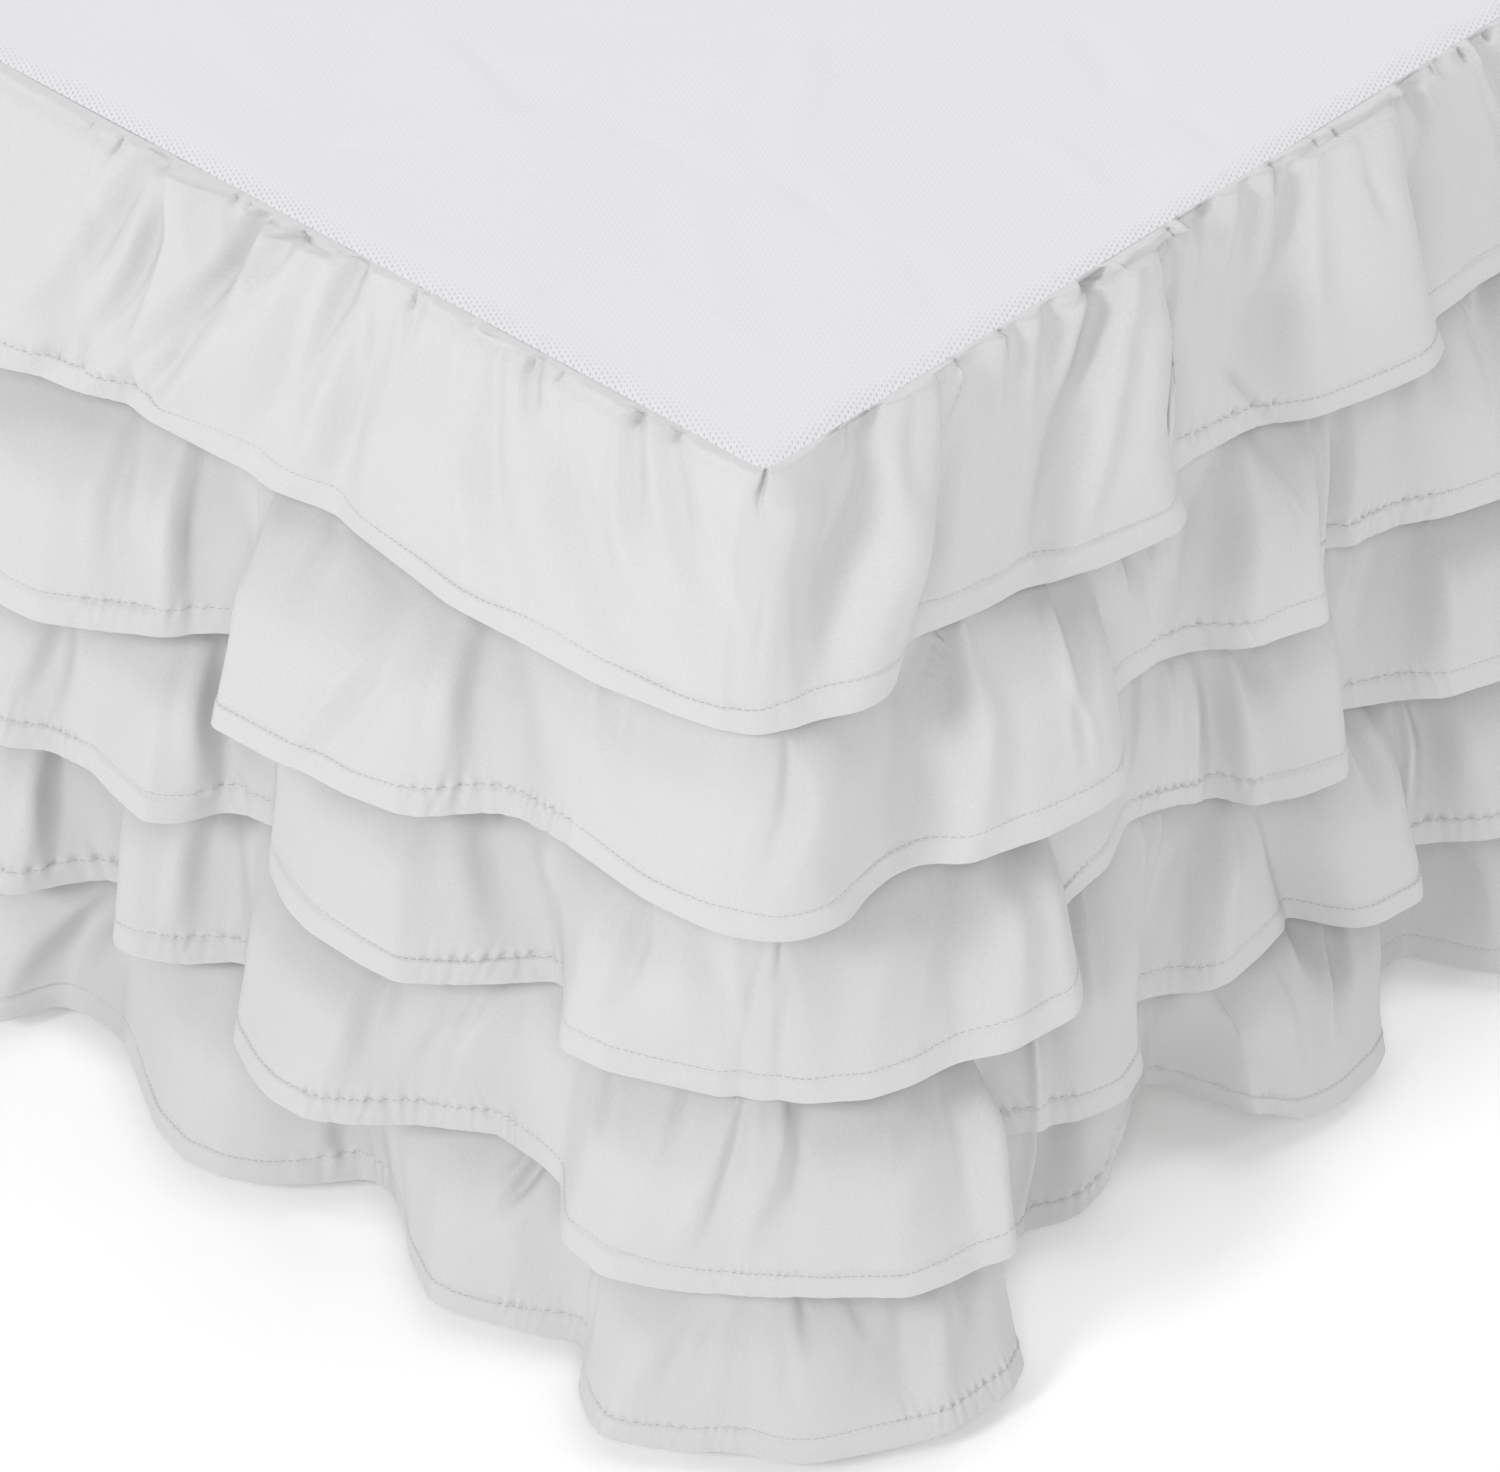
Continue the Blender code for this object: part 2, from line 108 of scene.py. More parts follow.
# The folds that go on along the long side and round the far corner:
# tier, where they start, least and most width, least and most crest reach, valley reach, mm.
onwardFolds = [(1, 458, 110, 165, 25, 40, 12), (2, 494, 105, 165, 44, 68, 13), (3, 492, 100, 160, 44, 66, 13),
               (4, 494, 85, 150, 44, 68, 14), (5, 502, 90, 150, 44, 66, 13)]
# The folds do not hang straight down: fold lines, mm, each with its place at the hem, three quarters, half
# and a quarter of the way down, and at the seam.
# Columns: hem, low, middle, high, seam.
foldLines = {
    1: [(-480, -480, -480, -480, -480), (-384, -380, -372, -357, -338), (-250, -255, -249, -238, -226),
        (-150, -143, -146, -150, -154), (-20, -20, -20, -20, -20), (30, 32, 42, 58, 78),
        (85, 98, 109, 121, 129), (150, 153, 171, 186, 204), (237, 222, 221, 232, 247),
        (300, 290, 303, 312, 318), (395, 386, 379, 375, 375), (458, 455, 447, 437, 424),
        (500, 500, 500, 500, 500)],
    2: [(-480, -480, -480, -480, -480), (-329, -334, -342, -351, -358), (-309, -309, -313, -321, -328),
        (-149, -151, -153, -160, -168), (-40, -40, -40, -40, -40), (30, 8, 14, 40, 60),
        (73, 76, 88, 104, 115), (200, 200, 200, 200, 200), (255, 257, 263, 277, 285),
        (345, 345, 348, 356, 362), (430, 430, 430, 430, 430), (500, 500, 500, 500, 500)],
    3: [(-480, -480, -480, -480, -480), (-303, -306, -310, -321, -328), (-210, -210, -210, -210, -210),
        (-141, -150, -161, -174, -184), (-86, -82, -77, -78, -80), (0, 2, 14, 36, 50),
        (64, 76, 92, 108, 120), (160, 160, 160, 160, 160), (236, 235, 238, 246, 252),
        (300, 300, 300, 300, 300), (370, 374, 380, 389, 395), (440, 440, 440, 440, 440),
        (500, 500, 500, 500, 500)],
    4: [(-480, -480, -480, -480, -480), (-400, -401, -407, -417, -424), (-316, -320, -323, -328, -332),
        (-206, -203, -203, -206, -210), (-180, -178, -169, -156, -147), (-110, -110, -110, -110, -110),
        (-38, -31, -25, -26, -28), (-3, -2, 12, 38, 55), (63, 67, 77, 92, 104), (124, 124, 126, 128, 130),
        (156, 157, 159, 162, 164), (188, 188, 196, 206, 214), (245, 248, 256, 269, 278),
        (327, 321, 315, 312, 310), (401, 402, 404, 412, 418), (500, 500, 500, 500, 500)],
    5: [(-480, -480, -480, -480, -480), (-421, -416, -409, -392, -380), (-330, -330, -330, -330, -330),
        (-243, -249, -254, -257, -258), (-128, -131, -135, -141, -145), (-52, -49, -46, -41, -38),
        (-10, -10, -10, -8, -5), (41, 44, 52, 67, 76), (130, 130, 132, 134, 136), (181, 187, 191, 195, 198),
        (264, 264, 265, 266, 267), (336, 340, 352, 366, 376), (430, 430, 430, 430, 430),
        (500, 500, 500, 500, 500)],
}
# How the reach grows from a tier's seam (0) to its hem (1).
firstProfile = [(0.0, 0.04), (0.06, 0.25), (0.5, 0.68), (1.0, 1.0)]
lowerProfile = [(0.0, 0.02), (0.17, 0.08), (0.52, 0.72), (1.0, 1.0)]
seamReach = {1: 0.0010, 2: 0.0004, 3: 0.0004, 4: 0.0004, 5: 0.0004}

# Slits where tier 1 is drawn into the seam, mm: at, length down the cloth, run sideways, half width, depth.
seamSlits = [
    (-374, 3, -1, 0.6, 1.4), (-358, 8, -2, 0.7, 2.8), (-332, 3, -1, 0.6, 1.2), (-297, 4, 0, 0.7, 2.2),
    (-289, 3, 0, 0.6, 1.0), (-260, 4, 0, 0.7, 2.0), (-240, 3, -1, 0.6, 1.2), (-201, 10, -2, 0.7, 3.2),
    (-140, 8, 1, 0.7, 3.0), (-125, 4, -1, 0.6, 1.6), (-89, 7, -1, 0.7, 3.0), (-71, 5, 0, 0.6, 2.0),
    (78, 9, -2, 1.0, 2.3), (128, 5, 1, 0.7, 2.0), (153, 13, 3, 0.9, 2.2), (203, 9, -4, 0.9, 2.8),
    (216, 4, 3, 0.7, 1.4), (247, 13, 3, 1.5, 3.8), (270, 6, -3, 0.8, 2.0), (308, 12, -6, 1.0, 3.8),
    (332, 4, 2, 0.7, 1.4), (343, 7, 4, 0.9, 1.6), (387, 6, 2, 1.0, 2.4), (405, 5, 3, 0.7, 1.6),
    (423, 8, 4, 0.9, 2.4), (441, 6, 3, 0.8, 2.0),
]
seam = {
    "roll": 0.0016,          # between slits the cloth stands this far off its flare
    "rollAt": 0.0060,
    "rollWide": 0.0060,
    "raise": 0.0012,         # and rises this far above the platform
    "scallop": 0.0032,       # from a slit to the full height
    "slitDepth": 1.35,       # times the depths in the table
    "slitReach": 0.024,      # nothing of a slit is worked out past this
}
# The pleat at the near corner: its path down the cloth, mm, and the fullness on its long side.
cornerPleat = {
    "down": (0, 2, 4, 6.5, 8.5, 11, 14),
    "at": (3, 0, -3, -6, -9, -10, -8),
    "grooveWide": 0.0008,
    "grooveDeep": 0.0030,
    "puff": 0.0062,
    "puffAt": 0.024,         # down the cloth
    "puffLong": 0.018,
    "puffEnd": 0.078,        # along the line
    "leftShare": 0.30,       # of the fullness is left of the pleat too
    "softFrom": 0.0030, "softTurn": 0.009, "softens": 1.1,
    "rightFade": 0.045, "leftEnd": 0.060, "leftFade": 0.040,
    "grooveTop": 0.7, "grooveWidens": 0.8,
    "dimple": 0.0011, "dimpleAt": 0.0012, "dimpleWide": 0.0022, "dimpleLong": 0.0026,
}
# Where the stitch line of a hem is drawn up: from and to in mm, how much.
puckers = {
    1: [(-405, -340, 0.45), (-200, -150, 0.2), (255, 300, 0.9)],
    2: [(-345, -300, 0.8), (-165, -105, 1.0), (240, 280, 0.8), (345, 400, 0.8)],
    3: [(-425, -365, 0.7), (-306, -280, 0.9), (-165, -120, 1.0), (178, 205, 0.5), (232, 290, 0.9),
        (350, 400, 0.8)],
    4: [(-425, -370, 1.0), (-335, -298, 0.9), (-220, -140, 1.0), (-30, 20, 0.35), (132, 172, 0.9),
        (240, 275, 0.6), (395, 430, 0.8)],
    5: [(-262, -228, 0.9), (-145, -100, 0.8), (-70, -10, 0.6), (55, 115, 0.7), (178, 235, 0.7),
        (250, 300, 0.6)],
}
# Creases, mm. They run down the cloth from top to foot and pass through three places along the line; lean 1
# puts a ridge on the low side of the trough, -1 on its high side, 0 a shoulder on both; a depth below 0 is a
# ridge.
# Columns: top, foot, at the top, at the middle, at the foot, width, depth, lean.
creases = {
    1: [
        (0, 96, -339, -361, -382, 7, 5.0, 0.0), (2, 134, -322, -334, -388, 16, -10.0, 0.8),
        (60, 100, -374, -375, -376, 9, 2.2, 0.0), (12, 58, -339, -346, -354, 4, -1.6, 0.0),
        (6, 50, -285, -299, -315, 4, -1.8, 0.0), (2, 50, -264, -283, -303, 4, -1.8, 0.0),
        (2, 64, -282, -296, -315, 5.5, 3.4, 0.3), (2, 60, -260, -278, -301, 5, 2.8, 0.3),
        (50, 116, -304, -322, -350, 4.4, 3.8, 0.3), (0, 108, -230, -247, -262, 5.5, 4.6, 0.3),
        (10, 56, -222, -223, -225, 2.5, -1.4, 0.0), (8, 132, -204, -206, -228, 22, -8.0, 0.8),
        (0, 26, -197, -200, -203, 3.5, 2.4, 0.3), (0, 52, -162, -160, -156, 5, -2.4, 0.0),
        (2, 118, -161, -148, -118, 9, 4.6, 0.2), (0, 28, -137, -135, -131, 4, 2.8, 0.5),
        (6, 122, -129, -95, -54, 11, 5.6, 0.2), (0, 62, -88, -81, -71, 6, 4.0, 0.3),
        (0, 76, -71, -55, -30, 7, 3.6, 0.2), (84, 112, -375, -380, -386, 4, 1.8, 0.0),
        (82, 112, -366, -366, -367, 2.5, 1.4, 0.0), (90, 112, -341, -344, -348, 3.5, 1.6, 0.0),
        (0, 20, 80, 74, 68, 3.5, 2.0, 0.2), (0, 128, 82, 54, 36, 15, 6.0, -0.7),
        (50, 118, 79, 76, 73, 12, 2.0, 0.2), (2, 60, 131, 122, 108, 4, 2.4, 1.0),
        (8, 122, 122, 110, 95, 13, 7.0, -0.6),
        (1, 50, 283, 279, 271, 6, -3.2, -0.2), (0, 46, 191, 184, 175, 6, -3.2, -0.2),
        (60, 104, 153, 141, 130, 5, 1.6, 0.2), (0, 134, 206, 172, 138, 8, 6.6, -0.4),
        (4, 150, 224, 220, 228, 26, -9.0, -0.8), (0, 114, 256, 230, 245, 8, 7.0, 1.0),
        (1, 70, 253, 249, 246, 8, -4.6, -0.2), (0, 52, 267, 258, 255, 4, 3.0, 0.3),
        (12, 134, 302, 292, 296, 20, 6.6, -0.6), (68, 112, 276, 286, 300, 2.2, 2.4, 0.0),
        (1, 60, 304, 299, 294, 7, -3.6, -0.3), (4, 92, 318, 308, 294, 6, 3.0, -0.2),
        (10, 50, 346, 351, 357, 3.5, 1.3, 0.2), (0, 116, 386, 392, 407, 8, 6.8, 1.0),
        (4, 40, 393, 394, 395, 6, 2.2, 0.0), (4, 30, 395, 403, 411, 3.5, -1.6, 0.0),
        (0, 20, 409, 415, 423, 3, 1.5, 0.3), (0, 98, 431, 452, 461, 7, 5.0, 1.0),
        (1, 60, 109, 104, 97, 8, -4.2, -0.3), (4, 134, -270, -300, -350, 18, -9.0, 0.8),
        (12, 132, -234, -246, -266, 20, -7.4, 0.8), (1, 62, 152, 145, 136, 8, -4.6, -0.3),
        (4, 150, 362, 362, 378, 30, -9.5, -0.8), (1, 62, 168, 161, 151, 8, -4.4, -0.3),
        (6, 120, 100, 83, 74, 16, -10.5, 0.3),
    ],
    2: [
        (14, 104, -352, -339, -327, 6, 2.8, 0.4), (8, 128, -324, -307, -305, 8, 6.0, 0.6),
        (16, 58, -287, -276, -266, 6, 3.2, 0.4), (10, 58, -239, -237, -235, 5, 2.4, 0.3),
        (30, 124, -178, -196, -220, 8, 4.2, 0.4), (14, 50, -217, -204, -192, 9, 1.3, 0.0),
        (6, 124, -166, -148, -149, 9, 5.2, 0.7), (14, 76, -99, -90, -82, 7, 2.8, 0.3),
        (14, 56, -104, -100, -97, 3, 1.4, 0.1), (8, 104, 66, 28, 4, 15, -5.2, 0.7),
        (0, 144, 124, 92, 72, 18, 10.4, -0.8), (4, 56, 118, 113, 108, 5, 3.4, 0.2),
        (4, 54, 136, 128, 118, 4.5, 4.7, 0.4), (8, 74, 182, 168, 158, 9, 6.5, 1.0),
        (50, 94, 152, 155, 151, 3, 1.4, 0.0), (30, 74, 219, 226, 232, 2.6, 5.5, 0.4),
        (20, 104, 236, 238, 240, 3, 1.8, 0.8), (20, 98, 245, 247, 250, 3, 1.6, 0.2),
        (4, 136, 288, 264, 256, 11, 9.6, -0.3), (12, 60, 300, 304, 308, 7, 2.6, 0.0),
        (30, 84, 301, 303, 305, 3, -1.3, 0.0), (16, 66, 338, 336, 334, 7, 3.9, 0.2),
        (14, 150, 356, 348, 345, 5, 8.0, 0.2), (20, 60, 404, 403, 401, 6, 3.4, 0.2),
        (12, 84, 431, 430, 428, 7, 4.7, 1.0), (10, 52, 454, 442, 432, 5, 5.2, 0.2),
    ],
    3: [
        (30, 106, -386, -384, -397, 7, 4.2, 0.5), (14, 120, -320, -302, -299, 7, 7.4, 0.8),
        (80, 112, -302, -295, -287, 3, 1.8, 0.0), (16, 114, -176, -151, -135, 9, 4.8, 0.6),
        (20, 66, -144, -147, -147, 7, 3.8, 0.3), (16, 100, -78, -72, -81, 8, 4.2, 0.5),
        (24, 98, -50, -36, -38, 8, 2.0, 0.1), (22, 58, 40, 22, 13, 6, 1.8, 0.1),
        (10, 138, 120, 96, 70, 20, 9.6, -0.8), (24, 62, 150, 128, 112, 7, 3.4, 0.2),
        (14, 92, 249, 240, 235, 6, 4.7, 1.0), (20, 98, 258, 253, 249, 3.5, -1.8, 0.0),
        (14, 140, 277, 275, 274, 6, 8.6, 0.0), (24, 72, 294, 293, 291, 5, 4.2, 0.1),
        (12, 130, 398, 386, 376, 14, 9.6, -0.6), (22, 56, 380, 370, 364, 4, -2.1, 0.0),
        (20, 60, 360, 359, 358, 3, 1.8, 0.3),
    ],
    4: [
        (20, 118, -416, -399, -396, 6, 8.0, 0.6), (20, 112, -322, -318, -316, 9, 5.2, 0.6),
        (24, 108, -202, -196, -200, 9, 4.6, 0.5), (14, 118, -140, -164, -173, 13, -4.6, 0.9),
        (24, 62, -97, -89, -80, 4, 2.8, 0.2), (14, 54, -63, -55, -49, 3.5, 2.2, 0.3),
        (8, 108, -30, -22, -40, 8, 3.8, 0.5), (10, 104, 62, 20, -4, 10, 4.7, 0.0),
        (36, 64, 84, 62, 46, 3, 2.3, 0.2), (14, 128, 106, 84, 70, 13, 7.8, -0.7),
        (20, 128, 163, 162, 159, 7, 7.0, 1.0), (4, 70, 222, 201, 187, 7, 5.5, 1.0),
        (4, 44, 251, 252, 253, 3.5, 5.5, 0.3), (4, 50, 259, 258, 257, 3.5, -2.1, 0.0),
        (6, 130, 288, 262, 248, 12, 10.4, -0.3), (14, 62, 371, 366, 360, 5, 5.2, 0.2),
        (14, 118, 417, 408, 407, 6, 9.9, 0.5),
    ],
    5: [
        (20, 116, -378, -412, -423, 6.5, 5.0, 0.4), (66, 116, -254, -250, -243, 5, 4.2, 0.3),
        (84, 112, -260, -256, -253, 3, 2.2, 0.0), (22, 60, -139, -144, -149, 3.5, 5.6, 0.3),
        (36, 108, -136, -127, -122, 9, 3.0, 0.2), (50, 94, -95, -93, -92, 4, 2.4, 0.3),
        (20, 112, -34, -43, -48, 8, 4.0, 0.4), (20, 70, 46, 29, 18, 7, 2.8, 0.2),
        (40, 90, 15, 11, 9, 5, 1.6, 0.0), (22, 118, 84, 60, 52, 13, 7.3, -0.7),
        (34, 76, 102, 96, 93, 5, 3.6, 0.2), (30, 112, 194, 189, 181, 6.5, 7.8, 0.5),
        (16, 92, 292, 281, 276, 10, 7.8, 0.5), (16, 50, 343, 337, 332, 5, 5.2, 0.3),
        (20, 84, 370, 345, 337, 4, 7.3, 0.3), (30, 98, 324, 320, 316, 6, 2.6, 0.2),
        (20, 60, 338, 328, 322, 4, -1.8, 0.0), (16, 92, 431, 434, 437, 8, 7.3, 0.5),
    ],
}
# Stretches where a hem rides higher than its fold alone would put it, mm: tier, at, half width, lift.
hemLifts = [(3, 208, 62, 17), (5, 250, 48, 26)]


def easeAlong(values, spread):
    # Gaussian average along the last axis, spread counted in samples, ends held.
    reach = int(spread * 4) + 1
    offset = np.arange(-reach, reach + 1)
    weight = np.exp(-0.5 * (offset / spread) ** 2)
    padded = np.pad(values, reach, mode="edge")
    return np.convolve(padded, weight / weight.sum(), mode="valid")


def smoothStep(x):
    # 3x^2 - 2x^3 between 0 and 1.
    x = np.clip(x, 0, 1)
    return x * x * (3 - 2 * x)


# The line of the folds; w is the place along it, 0 at the middle of the near corner.
arcLength = (skirt["seamCorner"] + skirt["cornerReach"]) * pi / 2
footLine = 2 * halfWidth - 2 * skirt["seamCorner"]
sideLine = headY - footY - skirt["seamCorner"]
lineStart = -(arcLength / 2 + footLine + arcLength + sideLine)
lineEnd = arcLength / 2 + sideLine


def seamAt(w):
    # Straight runs joined by quarter turns: the centre of the turn slides along the runs, and the point is
    # one corner radius from it in the outward direction.
    r = skirt["seamCorner"]
    half = arcLength / 2
    turnNear = np.clip((w + half) / arcLength, 0, 1)
    turnFar = np.clip((w + half + footLine + arcLength) / arcLength, 0, 1)
    angle = -pi + (turnNear + turnFar) * pi / 2
    out = np.stack([np.cos(angle), np.sin(angle)], -1)
    side = np.clip(w - half, 0, None)
    foot = np.clip(w + half + footLine, 0, footLine)
    far = np.clip(w + half + footLine + arcLength, None, 0)
    centre = np.stack([-halfWidth + r + foot, footY + r + side - far], -1)
    return centre + r * out, out


def farFolds(tier):
    # Uneven folds of the same kind for both ends of the line, each as three corners of the hem: valley, left
    # and right end of its crest.
    number, ends, widthLeast, widthMost, crestLeast, crestMost, low = onwardFolds[tier - 1]
    rng = np.random.default_rng(40 + tier)

    def fold(at, width):
        reach = rng.uniform(crestLeast, crestMost)
        left = at + width * rng.uniform(0.18, 0.38)
        right = at + width * rng.uniform(0.62, 0.82)
        return [(at, low + rng.uniform(-2, 6)), (left, reach), (right, reach * rng.uniform(0.9, 1.05))]

    after = []
    at = ends
    while at < lineEnd * 1000 + 60:
        width = rng.uniform(widthLeast, widthMost)
        after += fold(at, width)
        at += width
    before = []
    at = nearHem[tier][0][0]
    while at > lineStart * 1000 - 60:
        width = rng.uniform(widthLeast, widthMost)
        at -= width
        before = fold(at, width) + before
    return before, after


def hemReach(tier, w):
    # Straight between the corners of the hem, then eased.
    before, after = farFolds(tier)
    places, reaches = np.array(before + nearHem[tier] + after).T * 0.001
    step = 0.0005
    grid = np.arange(places[0], places[-1], step)
    raw = np.interp(grid, places, reaches)
    return np.interp(w, grid, easeAlong(raw, skirt["easeWidth"] / step))


def foldShift(tier, w, t):
    # How far along the line the fold at w has moved from its place at the hem, for a share t of the way down:
    # each fold line is a smooth curve through its five places, and the cloth between two lines moves evenly.
    lines = np.array(foldLines[tier]) * 0.001
    curve = np.polyfit([1.0, 0.75, 0.5, 0.25, 0.0], lines.T, 4)
    places = np.polyval(curve, t)
    return np.interp(w, places, places - lines[:, 0])


def profileShare(rows, t):
    # The profile rows joined straight and eased over about a twentieth of the strip.
    grid = np.linspace(0, 1, 401)
    raw = np.interp(grid, *np.array(rows).T)
    return np.interp(t, grid, easeAlong(raw, 18))


def columnPlaces(tier):
    # Fine steps round the near corner that widen to coarse ones; finer still where a hem is drawn up, and on
    # tier 1 at each slit.
    w = np.linspace(lineStart, lineEnd, 60001)
    away = smoothStep((np.abs(w) - skirt["fineSpan"]) / 0.12)
    near = np.full_like(w, skirt["fineStep"])
    for start, end, strength in puckers[tier]:
        inside = smoothStep((w * 1000 - start) / 8 + 1) * smoothStep((end - w * 1000) / 8 + 1)
        near -= (skirt["fineStep"] - skirt["pinchStep"]) * inside * min(strength * 2, 1)
    if tier == 1:
        for at, length, run, width, depth in seamSlits:
            half = abs(run) * 0.0005 + 0.0022
            near = np.minimum(near, skirt["fineStep"] - (skirt["fineStep"] - skirt["slitStep"])
                              * np.exp(-((w - (at + run * 0.5) * 0.001) / half) ** 4))
    step = near + (skirt["coarseStep"] - near) * away
    total = np.concatenate([[0], np.cumsum((w[1] - w[0]) / step[1:])])
    count = int(total[-1]) + 1
    return np.interp(np.linspace(0, total[-1], count), total, w)


def rowPlaces(strip, fineTop):
    # Distances down the strip: close at the seam where it shows, even below it, close again across the hem.
    hem = skirt["hemDepth"]
    top = np.array([0, 0.6, 1.3, 2.1, 3.0, 4.0, 5.2, 6.6, 8.2] if fineTop else [0, 4.0, 8.2]) * 0.001
    band = strip - hem + np.array([-5.0, -3.0, -1.8, -0.9, 0.0, 0.9, 1.8, 3.2, 5.2, 7.4, 9.4, 10.6]) * 0.001
    middle = np.linspace(top[-1], band[0], int((band[0] - top[-1]) / 0.0033) + 1)[1:-1]
    return np.concatenate([top, middle, band, [strip]])


def meshFromGrid(name, points, uv, mat):
    # Quads between neighbouring rows and columns; uv is a grid of the same size, in metres of cloth.
    rows, columns = points.shape[:2]
    at = np.arange(rows * columns).reshape(rows, columns)
    quads = np.stack([at[:-1, :-1], at[1:, :-1], at[1:, 1:], at[:-1, 1:]], -1).reshape(-1, 4)
    return meshFromFaces(name, points.reshape(-1, 3), quads, uv.reshape(-1, 2), mat)


def meshFromFaces(name, points, faces, uv, mat):
    # Smooth faces that all have as many corners as faces has columns; uv has a row for each point.
    mesh = bpy.data.meshes.new(name)
    mesh.vertices.add(len(points))
    mesh.vertices.foreach_set("co", np.asarray(points, np.float32).ravel())
    mesh.loops.add(faces.size)
    mesh.loops.foreach_set("vertex_index", faces.astype(np.int32).ravel())
    mesh.polygons.add(len(faces))
    mesh.polygons.foreach_set("loop_start", np.arange(0, faces.size, faces.shape[1], dtype=np.int32))
    mesh.polygons.foreach_set("use_smooth", np.full(len(faces), True))
    if uv is not None:
        layer = mesh.uv_layers.new(name="cloth")
        layer.data.foreach_set("uv", np.asarray(uv, np.float32)[faces.ravel()].ravel())
    mesh.update()
    mesh.validate()
    mesh.materials.append(mat)
    piece = bpy.data.objects.new(name, mesh)
    bpy.context.collection.objects.link(piece)
    return piece


def markSharpRow(piece, row, columns):
    # The edges along one row of a grid mesh become sharp.
    mesh = piece.data
    ends = np.empty(len(mesh.edges) * 2, np.int32)
    mesh.edges.foreach_get("vertices", ends)
    sharp = (ends.reshape(-1, 2) // columns == row).all(1)
    mesh.attributes.new("sharp_edge", "BOOLEAN", "EDGE").data.foreach_set("value", sharp)


creaseShape = {"atTop": 0.8, "widens": 0.4, "leanShare": 0.58, "lowShoulder": 0.33, "highShoulder": 0.40,
               "shoulderAt": 1.7, "shoulderWide": 0.85, "swell": 0.42, "fade": 0.6}


def creaseDepth(w, down, rows, first):
    # Sum of troughs. A crease follows the parabola through its three places; its cross-section is a bell with
    # raised shoulders, steep on its low side and drawn out on the other as lean goes from 0 to 1, and wider
    # towards its foot. It swells below its top (at once, if it starts at the seam: top at or above first) and
    # fades to its foot.
    c = creaseShape
    total = np.zeros((len(down), len(w)))
    for top, foot, atTop, atMiddle, atFoot, width, depth, lean in rows:
        low, high = min(atTop, atMiddle, atFoot), max(atTop, atMiddle, atFoot)
        left, right = np.searchsorted(w, (low - 6 * width, high + 6 * width))
        upper, lower = np.searchsorted(down, (top, foot))
        if left == right or upper == lower:
            continue
        a = ((down[upper:lower] - top) / (foot - top))[:, None]
        bend = 2 * (atTop + atFoot - 2 * atMiddle)
        slope = atFoot - atTop - bend
        at = atTop + slope * a + bend * a * a
        slant = np.hypot(1, (slope + 2 * bend * a) / (foot - top))
        x = (w[None, left:right] - at) / (width * (c["atTop"] + c["widens"] * a) * slant)
        x = x / np.where(x < 0, 1 - c["leanShare"] * lean, 1 + c["leanShare"] * lean)
        rise = 1.0 if top <= first else smoothStep(a / c["swell"])
        lowSide = np.exp(-((x + c["shoulderAt"]) / c["shoulderWide"]) ** 2)
        highSide = np.exp(-((x - c["shoulderAt"]) / c["shoulderWide"]) ** 2)
        bell = (np.exp(-x ** 2) - c["lowShoulder"] * (1 + lean) * lowSide
                - c["highShoulder"] * (1 - lean) * highSide)
        total[upper:lower, left:right] -= depth * bell * rise * smoothStep((1 - a) / c["fade"])
    return total


def uneven(w, pitch, seed):
    # A smooth random line: a random value every pitch, joined by a cosine.
    rng = np.random.default_rng(seed)
    count = int((w[-1] - w[0]) / pitch) + 4
    values = rng.uniform(-1, 1, count)
    x = (w - w[0]) / pitch
    i = x.astype(int)
    f = 0.5 - 0.5 * np.cos(pi * (x - i))
    return values[i] * (1 - f) + values[i + 1] * f


# Seeded creases, as ranges: places, widths and depths in metres, tops and feet as shares of the strip.
placedSpan = 0.455           # the tables of creases and slits reach this far from the near corner
gathers = {"gap": (0.014, 0.038), "run": (-0.010, 0.010), "bow": (-0.003, 0.003), "foot": (0.3, 0.8),
           "width": (0.0035, 0.0065), "depth": (0.0010, 0.0030), "faint": (0.0002, 0.0007),
           "lean": (0.0, 0.8), "tuckFoot": (0.005, 0.013), "tuckWidth": 0.0018,
           "tuckDepth": (0.002, 0.004), "cornerFree": 0.046}
longCreases = {"gap": (0.022, 0.055), "run": (-0.022, 0.022), "top": (0.2, 0.5), "length": (0.25, 0.5),
               "width": (0.005, 0.010), "depth": (-0.0012, 0.0020), "faint": (-0.0005, 0.0007)}
crestGrooves = {"leastReach": 0.028, "foot": (0.9, 1.2), "atMiddle": (0.008, 0.016), "atFoot": (0.006, 0.016),
                "width": (0.006, 0.010), "depth": (0.002, 0.0035), "lean": (0.5, 1.0)}


